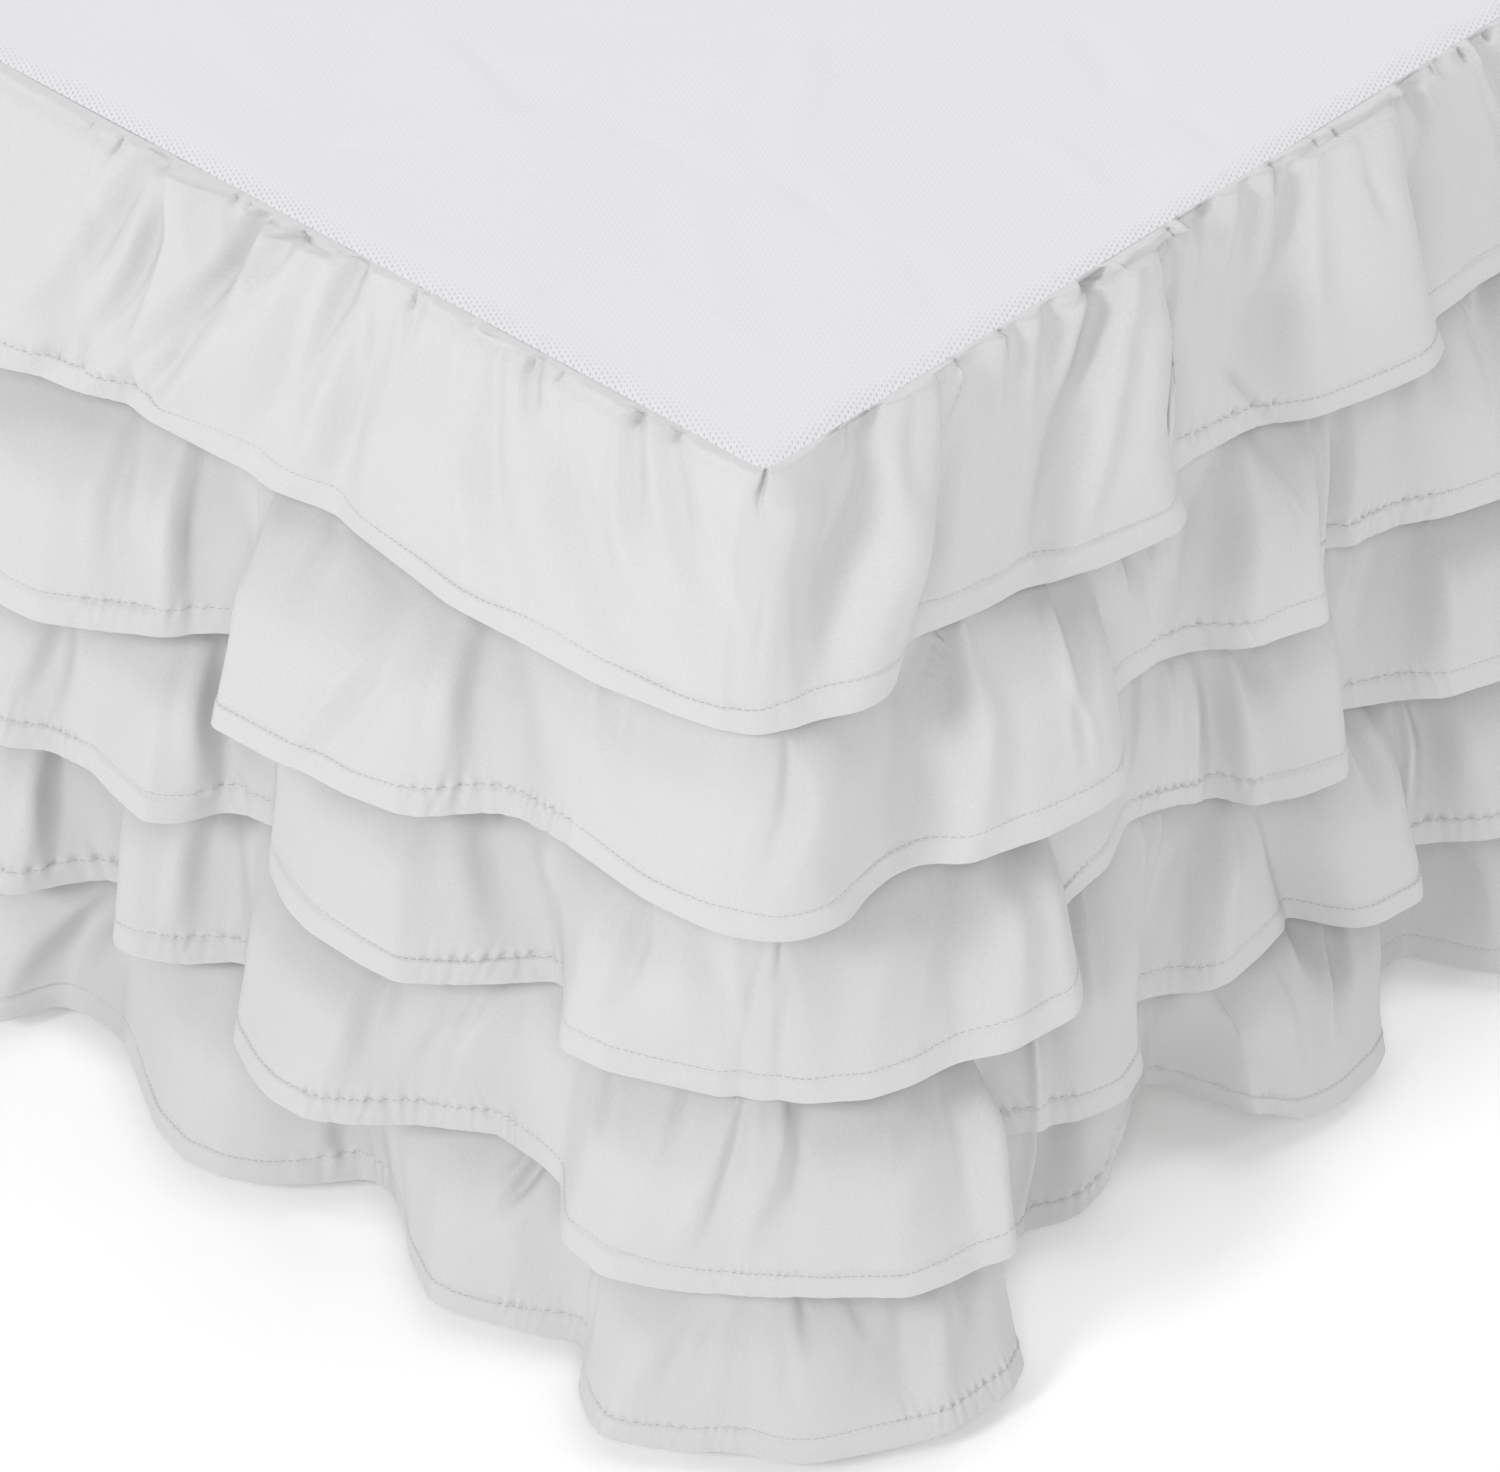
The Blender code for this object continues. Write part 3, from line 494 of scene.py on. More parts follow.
def seededCreases(tier, strip):
    # Creases of the same kind away from the placed ones, as rows of the creases table in metres: gathers from
    # the seam, grooves beside the crests, and faint long ones everywhere.
    rng = np.random.default_rng(100 + tier)
    rows = []
    g = gathers
    at = lineStart
    while at < lineEnd:
        far = abs(at) > placedSpan
        run = rng.uniform(*g["run"])
        foot = rng.uniform(*g["foot"]) * strip
        depth = rng.uniform(*g["depth"]) * (1.25 if tier > 1 else 0.9) if far else rng.uniform(*g["faint"])
        depth *= abs(at) >= g["cornerFree"]
        rows.append((0, foot, at, at + run * 0.5 + rng.uniform(*g["bow"]), at + run,
                     rng.uniform(*g["width"]), depth, rng.uniform(*g["lean"])))
        if tier == 1 and far:
            rows.append((0, rng.uniform(*g["tuckFoot"]), at, at + run * 0.1, at + run * 0.2, g["tuckWidth"],
                         rng.uniform(*g["tuckDepth"]), 0.2))
        at += rng.uniform(*g["gap"])
    g = longCreases
    at = lineStart
    while at < lineEnd:
        far = abs(at) > placedSpan
        top = rng.uniform(*g["top"]) * strip
        foot = top + rng.uniform(*g["length"]) * strip
        run = rng.uniform(*g["run"])
        depth = rng.uniform(*g["depth" if far else "faint"])
        rows.append((top, foot, at, at + run * 0.45, at + run, rng.uniform(*g["width"]), depth, 0.2))
        at += rng.uniform(*g["gap"])
    g = crestGrooves
    before, after = farFolds(tier)
    for right, rightReach in np.array(before[2::3] + after[2::3]) * 0.001:
        if rightReach > g["leastReach"]:
            rows.append((0.1 * strip, rng.uniform(*g["foot"]) * strip, right + 0.008,
                         right + rng.uniform(*g["atMiddle"]), right + rng.uniform(*g["atFoot"]),
                         rng.uniform(*g["width"]), rng.uniform(*g["depth"]) * (1.0 if tier == 1 else 1.9),
                         rng.uniform(*g["lean"])))
    return rows


def hemLift(tier, w):
    # Bell-shaped rises of the hem where the lift table has rows for this tier.
    total = np.zeros_like(w)
    for number, at, half, lift in hemLifts:
        if number == tier:
            total += lift * 0.001 * np.exp(-((w * 1000 - at) / half) ** 4)
    return total


def tierSurface(tier, w):
    # Middle of the cloth before small relief, with the distance down for each row.
    hemDrop = skirt["firstDrop"] + skirt["tierStep"] * (tier - 1)
    topDrop = 0.0003 if tier == 1 else hemDrop - skirt["tierStep"] - skirt["tierLap"]
    strip = hemDrop - topDrop
    down = rowPlaces(strip, tier == 1)
    t = (down / strip)[:, None]
    hemPlace = np.stack([w - foldShift(tier, w, share) for share in down / strip])
    reach = hemReach(tier, hemPlace)
    share = profileShare(firstProfile if tier == 1 else lowerProfile, t)
    away = seamReach[tier] + reach * share
    z = seamHeight - topDrop - strip * t + skirt["crestLift"] * (reach - reach.min()) * t
    z = z + hemLift(tier, hemPlace) * t
    point, out = seamAt(w)
    x = point[None, :, 0] + out[None, :, 0] * away
    y = point[None, :, 1] + out[None, :, 1] * away
    return np.stack([x, y, z], -1), down, strip


def gridNormals(points):
    # Cross product of the way down and the way along, made one long.
    normal = np.cross(np.gradient(points, axis=0), np.gradient(points, axis=1))
    return normal / np.linalg.norm(normal, axis=2, keepdims=True)


def drawnUp(tier, w):
    # How much the stitch line is drawn up: the pucker stretches with soft ends, a little everywhere, and more
    # in the valleys away from the near corner.
    reach = hemReach(tier, w)
    lie = 1 - reach / reach.max()
    total = 0.13 + 0.5 * smoothStep(lie * 1.5 - 0.4) * smoothStep((np.abs(w) - 0.43) / 0.05)
    for start, end, strength in puckers[tier]:
        ends = smoothStep((w * 1000 - start) / 14 + 0.5) * smoothStep((end - w * 1000) / 14 + 0.5)
        total = np.maximum(total, strength * ends)
    return total


# Grooves across the stitch line, in metres: ranges where two numbers stand.
pinches = {
    "span": 0.62,            # none further from the near corner than this
    "gap": (0.0032, 0.0054),
    "width": (0.0009, 0.0014),
    "slant": (-0.30, 0.30),
    "above": 0.004,          # how far up each one runs at least
    "aboveMore": 0.010,
    "longShare": 0.22,       # this share of them runs twice as far
    "depth": 0.00135,
    "dimple": 0.0013,
}


def pinchDepth(tier, w, down, strip):
    # Short grooves across the stitch line, a few stitches apart. Each is a narrow bell, deepest as a dimple
    # on the stitch line; it runs out above, sometimes far up, and weakens to the edge, and the cloth is full
    # between them.
    p = pinches
    rng = np.random.default_rng(500 + tier)
    total = np.zeros((len(down), len(w)))
    stitch = strip - skirt["hemDepth"]
    strengths = drawnUp(tier, w)
    at = -p["span"]
    while at < p["span"]:
        strength = float(np.interp(at, w, strengths)) * rng.uniform(0.45, 1.0)
        above = p["above"] + p["aboveMore"] * strength * rng.uniform(0.0, 1.0)
        above *= 2.0 if rng.uniform() < p["longShare"] else 1.0
        width = rng.uniform(*p["width"])
        slant = rng.uniform(*p["slant"])
        left, right = np.searchsorted(w, (at - 0.009, at + 0.009))
        upper = int(np.searchsorted(down, stitch - above))
        v = (down[upper:] - stitch)[:, None]
        outwards = 0.55 - 0.25 * smoothStep(v / skirt["hemDepth"])
        along = np.where(v < 0, 0.55 * smoothStep(1 + v / above), outwards)
        along = along + 0.75 * np.exp(-(v / p["dimple"]) ** 2)
        x = (w[None, left:right] - at - slant * v) / width
        bell = np.exp(-x ** 2) - 0.38 * np.exp(-((np.abs(x) - 2.0) / 0.9) ** 2)
        total[upper:, left:right] -= p["depth"] * strength * along * bell
        at += rng.uniform(*p["gap"])
    return total


# Seeded slits beyond the placed ones, in metres.
farSlits = {"from": 0.452, "gap": (0.018, 0.046), "length": (0.005, 0.013), "run": (-0.004, 0.004),
            "width": 0.003, "depth": (0.002, 0.003)}


def slitGroove(w, down, scallop=False):
    # Narrow bells along the slits' own slanting lines, as deep as the slit at the seam and fading to its end.
    # As scallops: how full the cloth is, from 0 in a slit to 1 away from it.
    f = farSlits
    rows = [[v * 0.001 for v in row] for row in seamSlits]
    rng = np.random.default_rng(77)
    at = lineStart
    while at < lineEnd:
        if abs(at) > f["from"]:
            rows.append([at, rng.uniform(*f["length"]), rng.uniform(*f["run"]), f["width"],
                         rng.uniform(*f["depth"])])
        at += rng.uniform(*f["gap"])
    total = np.zeros((len(down), len(w)))
    full = np.ones((len(down), len(w)))
    for at, length, run, width, depth in rows:
        depth = depth * seam["slitDepth"]
        left, right = np.searchsorted(w, (at - seam["slitReach"], at + seam["slitReach"]))
        a = np.clip(down / length, 0, 1)[:, None]
        x = w[None, left:right] - at - run * a ** 1.6
        fade = 1 - smoothStep((a - 0.35) / 0.65)
        total[:, left:right] -= depth * np.exp(-(x / (width * (0.75 + 0.7 * a))) ** 2) * fade
        nearness = np.exp(-(np.abs(x) / seam["scallop"]) ** 1.4)
        full[:, left:right] = np.minimum(full[:, left:right], 1 - nearness * fade)
    return full if scallop else total


def cornerFullness(w, down, away):
    # Right of the pleat the cloth swells out: a smooth step across the pleat's path times a bell down the
    # cloth, with a smaller one on its left. The pleat is a narrow groove along the path. Near the corner the
    # line is longer than the cloth, so distances across are brought to the cloth's own length.
    c = cornerPleat
    path = np.interp(down, np.array(c["down"]) * 0.001, np.array(c["at"]) * 0.001)[:, None]
    scale = (skirt["seamCorner"] + away) / (skirt["seamCorner"] + skirt["cornerReach"])
    x = (w[None, :] - path) * np.clip(scale, 0, 1)
    d = down[:, None]
    bell = np.exp(-((d - c["puffAt"]) / c["puffLong"]) ** 2)
    soft = c["softFrom"] + c["softens"] * np.clip(d - c["softTurn"], 0, None)
    swell = smoothStep((x + 0.0004) / soft) * smoothStep((c["puffEnd"] - w) / c["rightFade"])[None, :]
    left = c["leftShare"] * smoothStep(-x / soft) * smoothStep((w + c["leftEnd"]) / c["leftFade"])[None, :]
    pathEnd = c["down"][-1] * 0.001
    groove = np.exp(-(x / (c["grooveWide"] * (c["grooveTop"] + c["grooveWidens"] * d / pathEnd))) ** 2)
    groove = groove * (1 - smoothStep((d / pathEnd - 0.6) / 0.4))
    dimple = np.exp(-((x - c["dimpleAt"]) / c["dimpleWide"]) ** 2 - ((d - pathEnd) / c["dimpleLong"]) ** 2)
    return c["puff"] * bell * (swell + left) - c["grooveDeep"] * groove - c["dimple"] * dimple


def turnEase(w, away):
    # The two ends of the corner's arc, where the curvature starts at once, are spread over 2s: the cloth
    # stands s^2 / 6R closer between them, reached by half cubes (1 + v)^3 / 2 and 1 - (1 - v)^3 / 2 with
    # v = distance / s, and less by the square of its own radius over R.
    spread = skirt["turnSpread"]
    radius = skirt["seamCorner"] + skirt["cornerReach"]

    def share(x):
        v = np.clip(x / spread, -1, 1)
        return np.where(v < 0, (1 + v) ** 3 / 2, 1 - (1 - v) ** 3 / 2)

    own = np.clip((skirt["seamCorner"] + away) / radius, 0, 1.1) ** 2
    return -spread ** 2 / (6 * radius) * own * (share(w + arcLength / 2) - share(w - arcLength / 2))


hemRelief = {"groove": -0.00045, "grooveWide": 0.0009, "puff": 0.00030, "puffReach": 0.002, "bead": 0.00022,
             "beadIn": 0.0006, "beadWide": 0.0006, "firstTop": 0.005}


def tierRelief(tier, w, down, strip):
    # Everything finer than the folds, as a height along the normal.
    h = hemRelief
    rows = [tuple(v * 0.001 for v in row[:7]) + (row[7],) for row in creases[tier]]
    relief = creaseDepth(w, down, seededCreases(tier, strip) + rows, h["firstTop"] if tier == 1 else 0.0)
    hem = skirt["hemDepth"]
    fromStitch = (down - (strip - hem))[:, None]
    groove = h["groove"] * np.exp(-(fromStitch / h["grooveWide"]) ** 2)
    puff = h["puff"] * smoothStep(fromStitch / h["puffReach"])
    bead = h["bead"] * np.exp(-((fromStitch - hem + h["beadIn"]) / h["beadWide"]) ** 2)
    return relief + groove + puff + bead + pinchDepth(tier, w, down, strip)


thread = {"pitch": 0.0029, "length": 0.0022, "width": 0.00045, "height": 0.00026, "wander": 0.0021,
          "wanderPitch": 0.045}


def buildTier(tier, mat):
    # The surface of the folds moved along its normals by the relief, with its hem turned under. On the cloth,
    # u runs along the stitch line and v down from it.
    w = columnPlaces(tier)
    points, down, strip = tierSurface(tier, w)
    stitchRow = int(np.argmin(np.abs(down - (strip - skirt["hemDepth"]))))
    u = np.concatenate([[0], np.cumsum(np.linalg.norm(np.diff(points[stitchRow], axis=0), axis=1))])
    normal = gridNormals(points)
    point, out = seamAt(w)
    away = np.sum((points[..., :2] - point) * out, -1)
    relief = tierRelief(tier, w, down, strip) + turnEase(w, away)
    if tier == 1:
        full = slitGroove(w, down, scallop=True)
        start = smoothStep(down / 0.0012)[:, None]
        roll = seam["roll"] * np.exp(-((down - seam["rollAt"]) / seam["rollWide"]) ** 2)[:, None]
        relief = (relief + roll * full + slitGroove(w, down) + cornerFullness(w, down, away)) * start
        points[..., 2] += seam["raise"] * full * np.exp(-((down - 0.0012) / 0.0012) ** 2)[:, None]
    # No crease reaches the drop panel.
    clear = smoothStep(down / skirt["clearFrom"])[:, None] * (skirt["panelClear"] + skirt["seamClear"])
    relief = np.maximum(relief, np.minimum(clear - skirt["seamClear"] - away, 0))
    points = points + normal * relief[..., None]
    # The stitch line wanders up and down the cloth; the edge and the cloth above stay where they are.
    fall = np.gradient(points, axis=0)
    fall /= np.linalg.norm(fall, axis=2, keepdims=True)
    wander = thread["wander"] * uneven(w, thread["wanderPitch"], 60 + tier)
    beside = np.exp(-(((down - strip + skirt["hemDepth"]) / 0.0065) ** 2))
    points = points + fall * (wander[None, :] * beside[:, None])[..., None]
    normal = gridNormals(points)
    # The hem turns under its edge and runs back up inside to the stitch line.
    thick = skirt["hemThick"]
    last = len(down) - 1
    edge = points[last] - normal[last] * thick / 2
    edge[:, 2] -= 0.0004
    inside = np.flatnonzero(down > strip - skirt["hemDepth"] - 0.0002)[::-3]
    inner = points[inside] - normal[inside] * thick
    inner[-1] += normal[inside[-1]] * thick * 0.7
    tuck = np.concatenate([point - out * skirt["tuck"], np.full((len(w), 1), seamHeight - 0.0013)], 1)
    if tier > 1:
        tuck = points[0] - np.array([0, 0, 0.0004])
    grid = np.concatenate([tuck[None], points, edge[None], inner])
    v = np.concatenate([[-0.001], down, [strip + 0.0005], strip + (strip - down[inside])])
    v = v - (strip - skirt["hemDepth"])
    uv = np.stack(np.broadcast_arrays(u[None, :], v[:, None]), -1)
    piece = meshFromGrid(f"tier_{tier}_cloth", grid, uv, mat)
    markSharpRow(piece, len(points), len(w))
    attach(piece, "root")
    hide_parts(f"tier_{tier}")
    return piece, points[stitchRow], normal[stitchRow], u


def buildStitches(name, line, normal, along, mat):
    # Equal steps of cloth along the stitch line; each stitch is two tips with a ring of four between them.
    count = int(along[-1] / thread["pitch"])
    rng = np.random.default_rng(900)
    s = (np.arange(count) + 0.5 + rng.uniform(-0.08, 0.08, count)) * thread["pitch"]
    centre = np.stack([np.interp(s, along, line[:, k]) for k in range(3)], -1)
    ahead = np.stack([np.interp(s + 0.0008, along, line[:, k]) for k in range(3)], -1)
    run = ahead - centre
    run /= np.linalg.norm(run, axis=1, keepdims=True) + 1e-12
    up = np.stack([np.interp(s, along, normal[:, k]) for k in range(3)], -1)
    up -= run * np.sum(up * run, 1, keepdims=True)
    up /= np.linalg.norm(up, axis=1, keepdims=True)
    across = np.cross(up, run)
    half, wide, tall = thread["length"] / 2, thread["width"] / 2, thread["height"]
    shape = np.array([(-half, 0, -0.0002), (0, -wide, 0), (0, 0, tall), (0, wide, 0), (0, 0, -0.0002),
                      (half, 0, -0.0002)])
    tilt = rng.uniform(-0.10, 0.10, count)[:, None, None]
    points = (centre[:, None] + run[:, None] * shape[None, :, 0:1] + up[:, None] * shape[None, :, 2:3]
              + across[:, None] * (shape[None, :, 1:2] + tilt * shape[None, :, 0:1]))
    faces = np.array([(0, 2, 1), (0, 3, 2), (0, 4, 3), (0, 1, 4), (5, 1, 2), (5, 2, 3), (5, 3, 4), (5, 4, 1)])
    faces = (faces[None] + 6 * np.arange(count)[:, None, None]).reshape(-1, 3)
    piece = meshFromFaces(name, points.reshape(-1, 3), faces, None, mat)
    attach(piece, "root")
    return piece


def feed(mat, socket, value):
    # A socket takes another node's output, or a plain value; a colour is given by its three shares.
    if isinstance(value, bpy.types.NodeSocket):
        mat.node_tree.links.new(value, socket)
    else:
        socket.default_value = (*value, 1) if socket.type == "RGBA" else value


def newMaterial(name, colour, finish):
    # A Principled shader of one colour; finish holds the other values that are the same all over.
    mat = bpy.data.materials.new(name)
    mat.use_nodes = True
    shader = mat.node_tree.nodes["Principled BSDF"]
    feed(mat, shader.inputs["Base Color"], colour)
    for key, value in finish.items():
        feed(mat, shader.inputs[key], value)
    return mat, shader


def addNode(mat, kind, inputs=None, **settings):
    node = mat.node_tree.nodes.new("ShaderNode" + kind)
    for key, value in settings.items():
        setattr(node, key, value)
    for key, value in (inputs or {}).items():
        feed(mat, node.inputs[key], value)
    return node


def calc(mat, operation, *numbers, clamp=False):
    node = addNode(mat, "Math", dict(enumerate(numbers)), operation=operation, use_clamp=clamp)
    return node.outputs[0]


def noise(mat, place, scale, detail=2, roughness=0.5):
    values = {"Vector": place, "Scale": scale, "Detail": detail, "Roughness": roughness}
    return addNode(mat, "TexNoise", values)


def rangeOf(mat, value, fromMin, fromMax, toMin=0.0, toMax=1.0):
    ends = {"From Min": fromMin, "From Max": fromMax, "To Min": toMin, "To Max": toMax}
    return addNode(mat, "MapRange", {"Value": value, **ends}).outputs[0]


def mixColours(mat, share, first, second):
    return addNode(mat, "Mix", {0: share, 6: first, 7: second}, data_type="RGBA").outputs[2]


def bump(mat, height, distance, strength, under=None):
    # under is the output of a finer bump that this one lies on.
    node = addNode(mat, "Bump", {"Height": height, "Distance": distance, "Strength": strength})
    if under:
        feed(mat, node.inputs["Normal"], under)
    return node.outputs[0]


def shade(colour, share):
    return tuple(value * share for value in colour)


weave = {"pitch": 0.00045, "slubs": 900, "rumple": 60, "threadBump": 0.00004, "rumpleBump": 0.0010,
         "stitchShadowAt": 0.00018, "stitchShadowWidth": 0.00030, "slubShade": 0.94, "pullShade": 0.45}


def cottonMaterial(name, colour):
    # Plain weave: two crossed waves a thread apart, and soft slubs, as bump and a faint change of colour.
    # Along the stitch line, at v = 0, short dark dashes of painted stitch shadow: a narrow bell across times
    # a wave along.
    finish = {"Roughness": 0.82, "Sheen Weight": 0.12, "Sheen Roughness": 0.5, "Specular IOR Level": 0.25}
    mat, shader = newMaterial(name, colour, finish)
    place = addNode(mat, "UVMap", uv_map="cloth").outputs[0]
    u, v = addNode(mat, "SeparateXYZ", {0: place}).outputs[:2]
    warp = calc(mat, "SINE", calc(mat, "MULTIPLY", u, 2 * pi / weave["pitch"]))
    weft = calc(mat, "SINE", calc(mat, "MULTIPLY", v, 2 * pi / weave["pitch"]))
    slub = noise(mat, place, weave["slubs"], 3).outputs["Fac"]
    height = calc(mat, "ADD", calc(mat, "MULTIPLY", warp, weft), calc(mat, "MULTIPLY", slub, 2.0))
    threads = bump(mat, height, weave["threadBump"], 0.5)
    rumple = noise(mat, place, weave["rumple"], 3, 0.55).outputs["Fac"]
    feed(mat, shader.inputs["Normal"], bump(mat, rumple, weave["rumpleBump"], 0.35, threads))
    tint = mixColours(mat, rangeOf(mat, slub, 0.3, 0.7, 0.0, 0.99), shade(colour, weave["slubShade"]), colour)
    # Painted shadow of the stitches: dark dashes on the stitch line, darkening the base colour.
    across = calc(mat, "ABSOLUTE", calc(mat, "SUBTRACT", v, weave["stitchShadowAt"]))
    line = calc(mat, "SUBTRACT", 1.0, calc(mat, "DIVIDE", across, weave["stitchShadowWidth"]), clamp=True)
    beat = calc(mat, "COSINE", calc(mat, "MULTIPLY", u, 2 * pi / thread["pitch"]))
    dash = calc(mat, "ADD", calc(mat, "MULTIPLY", beat, -1.2), 0.8, clamp=True)
    stitchShadow = calc(mat, "MULTIPLY", calc(mat, "MULTIPLY", line, dash), 0.75)
    feed(mat, shader.inputs["Base Color"], mixColours(mat, stitchShadow, tint, shade(colour, weave["pullShade"])))
    return mat


holes = {"across": 0.00206, "deep": 0.0027, "turn": 43.0, "band": 0.015, "wander": 0.0012, "ragged": 0.010,
         "colour": (0.47, 0.47, 0.49)}


def meshKnitMaterial(name, colour):
    # Staggered holes: the product of a wave across and a wave half as long the other way. Faintly all over
    # they are the knit's own pattern; in a band along the seam they are darker still, painted shade where the
    # sheet slopes.
    mat, shader = newMaterial(name, colour, {"Roughness": 0.88, "Sheen Weight": 0.1})
    place = addNode(mat, "TexCoord").outputs["Object"]
    turn = (0, 0, radians(-holes["turn"]))
    turned = addNode(mat, "Mapping", {"Vector": place, "Rotation": turn}).outputs[0]
    wander = noise(mat, place, 40)
    slide = {0: wander.outputs["Color"], 1: (holes["wander"], holes["wander"], 0), 2: turned}
    moved = addNode(mat, "VectorMath", slide, operation="MULTIPLY_ADD").outputs[0]
    x, y = addNode(mat, "SeparateXYZ", {0: moved}).outputs[:2]
    across = calc(mat, "COSINE", calc(mat, "MULTIPLY", x, 2 * pi / holes["across"]))
    deep = calc(mat, "COSINE", calc(mat, "MULTIPLY", y, pi / holes["deep"]))
    lattice = calc(mat, "MULTIPLY", across, deep)
    # Distance from the seam, from the object's own x and y, for the band of painted shade along it
    x, y = addNode(mat, "SeparateXYZ", {0: place}).outputs[:2]
    fromSide = calc(mat, "SUBTRACT", halfWidth, calc(mat, "ABSOLUTE", x))
    inward = calc(mat, "MINIMUM", fromSide, calc(mat, "SUBTRACT", y, footY))
    shadeBandDistance = calc(mat, "ADD", inward, calc(mat, "MULTIPLY", wander.outputs["Fac"], holes["ragged"]))
    # Painted shade: the holes darken towards the hole colour near the seam and stay faint further in.
    band = rangeOf(mat, shadeBandDistance, 0.006, holes["band"], 1.0, 0.16)
    dark = calc(mat, "MULTIPLY", rangeOf(mat, lattice, 0.25, 0.85), band)
    feed(mat, shader.inputs["Base Color"], mixColours(mat, dark, colour, holes["colour"]))
    feed(mat, shader.inputs["Normal"], bump(mat, calc(mat, "MULTIPLY", lattice, -0.5), 0.00025, 0.35))
    return mat


def coverMaterial(name, colour):
    # Cover of the box spring: a fine grain.
    mat, shader = newMaterial(name, colour, {"Roughness": 0.85})
    place = addNode(mat, "TexCoord").outputs["Object"]
    grain = noise(mat, place, 700, 4).outputs["Fac"]
    feed(mat, shader.inputs["Normal"], bump(mat, grain, 0.0002, 0.5))
    return mat


def woodMaterial(name, light, dark):
    # Grain lines along the leg: noise stretched upwards.
    mat, shader = newMaterial(name, light, {"Roughness": 0.45})
    place = addNode(mat, "TexCoord").outputs["Object"]
    stretched = addNode(mat, "Mapping", {"Vector": place, "Scale": (90, 90, 5)}).outputs[0]
    grain = noise(mat, stretched, 1.4, 6).outputs["Fac"]
    feed(mat, shader.inputs["Base Color"], mixColours(mat, grain, dark, light))
    return mat


platform = {"fine": 0.0030, "coarse": 0.014, "fineSpan": 0.45, "lift": 0.0003, "waves": 26,
            "waveHeight": 0.00018}
# Soft wrinkles: from x, y to x, y in mm inwards from the near corner, half width and height.
platformWrinkles = [
    (145, 140, 68, 137, 6, -1.0), (70, 138, 4, 112, 6, -0.9), (212, 244, 116, 144, 9, 1.2),
    (132, 306, 54, 274, 8, -1.2), (56, 276, 8, 279, 7, -1.0), (314, 128, 220, 124, 7, -0.8),
    (224, 124, 124, 133, 7, -1.0), (272, 8, 248, 76, 7, -1.0), (250, 74, 206, 130, 9, 0.9),
    (128, 16, 131, 64, 6, -0.9), (112, 52, 34, 56, 6, 0.7), (88, 226, 14, 221, 8, 1.0),
    (224, 168, 175, 246, 9, -0.9), (60, 60, 150, 110, 8, 0.8), (190, 90, 330, 140, 12, 1.0),
    (240, 210, 380, 260, 11, 0.9), (280, 60, 400, 90, 9, 0.8), (200, 330, 330, 440, 12, 1.0),
    (380, 300, 520, 380, 14, -1.1), (500, 150, 640, 260, 14, 1.0), (90, 520, 240, 640, 14, 1.1),
]


def stepsBetween(low, high, fineAt, fine, coarse, span):
    # Places from low to high, fine near fineAt and coarse away from it.
    x = np.linspace(low, high, 8001)
    away = smoothStep((np.abs(x - fineAt) - span) / 0.2)
    step = fine + (coarse - fine) * away
    total = np.concatenate([[0], np.cumsum((x[1] - x[0]) / step[1:])])
    return np.interp(np.linspace(0, total[-1], int(total[-1]) + 1), total, x)


def buildPlatform(mat):
    # A flat sheet on the platform's outline with bell-shaped wrinkles along straight runs that fade at both
    # ends, faint waves, and its foot corners brought onto their round.
    p = platform
    xs = stepsBetween(-halfWidth, halfWidth, halfWidth, p["fine"], p["coarse"], p["fineSpan"])
    ys = stepsBetween(footY, headY, footY, p["fine"], p["coarse"], p["fineSpan"])
    x, y = np.meshgrid(xs, ys)
    inX, inY = halfWidth - x, y - footY
    z = np.zeros_like(x)
    for ax, ay, bx, by, width, height in np.array(platformWrinkles) * 0.001:
        length = np.hypot(bx - ax, by - ay)
        ux, uy = (bx - ax) / length, (by - ay) / length
        a = ((inX - ax) * ux + (inY - ay) * uy) / length
        side = (-(inX - ax) * uy + (inY - ay) * ux + 0.004 * np.sin(a * 5)) / width
        z += height * np.exp(-side ** 2) * smoothStep(a / 0.35) * smoothStep((1 - a) / 0.35)
    rng = np.random.default_rng(7)
    for _ in range(p["waves"]):
        angle = rng.uniform(0, 2 * pi)
        pitch = rng.uniform(0.05, 0.22)
        wave = np.sin((x * np.cos(angle) + y * np.sin(angle)) * 2 * pi / pitch + rng.uniform(0, 2 * pi))
        z += wave * p["waveHeight"] * (pitch / 0.15)
    edge = np.minimum(np.minimum(halfWidth - np.abs(x), y - footY), headY - y)
    z *= smoothStep(edge / 0.02)
    z += seamHeight + p["lift"] - 0.0010 * (1 - smoothStep(edge / 0.004))
    r = skirt["seamCorner"]
    cx, cy = np.clip(x, -halfWidth + r, halfWidth - r), np.maximum(y, footY + r)
    off = np.hypot(x - cx, y - cy)
    scale = np.where(off > r, r / np.maximum(off, 1e-9), 1.0)
    corner = (np.abs(x) > halfWidth - r) & (y < footY + r)
    x = np.where(corner, cx + (x - cx) * scale, x)
    y = np.where(corner, cy + (y - cy) * scale, y)
    points = np.stack([x, y, z], -1)[::-1]
    uv = points[..., :2].copy()
    piece = meshFromGrid("platform_cloth", points, uv, mat)
    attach(piece, "root")
    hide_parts("platform")
    return piece


dropPanel = {"drop": 0.372, "inset": 0.0016, "wave": 0.0004, "step": 0.02}


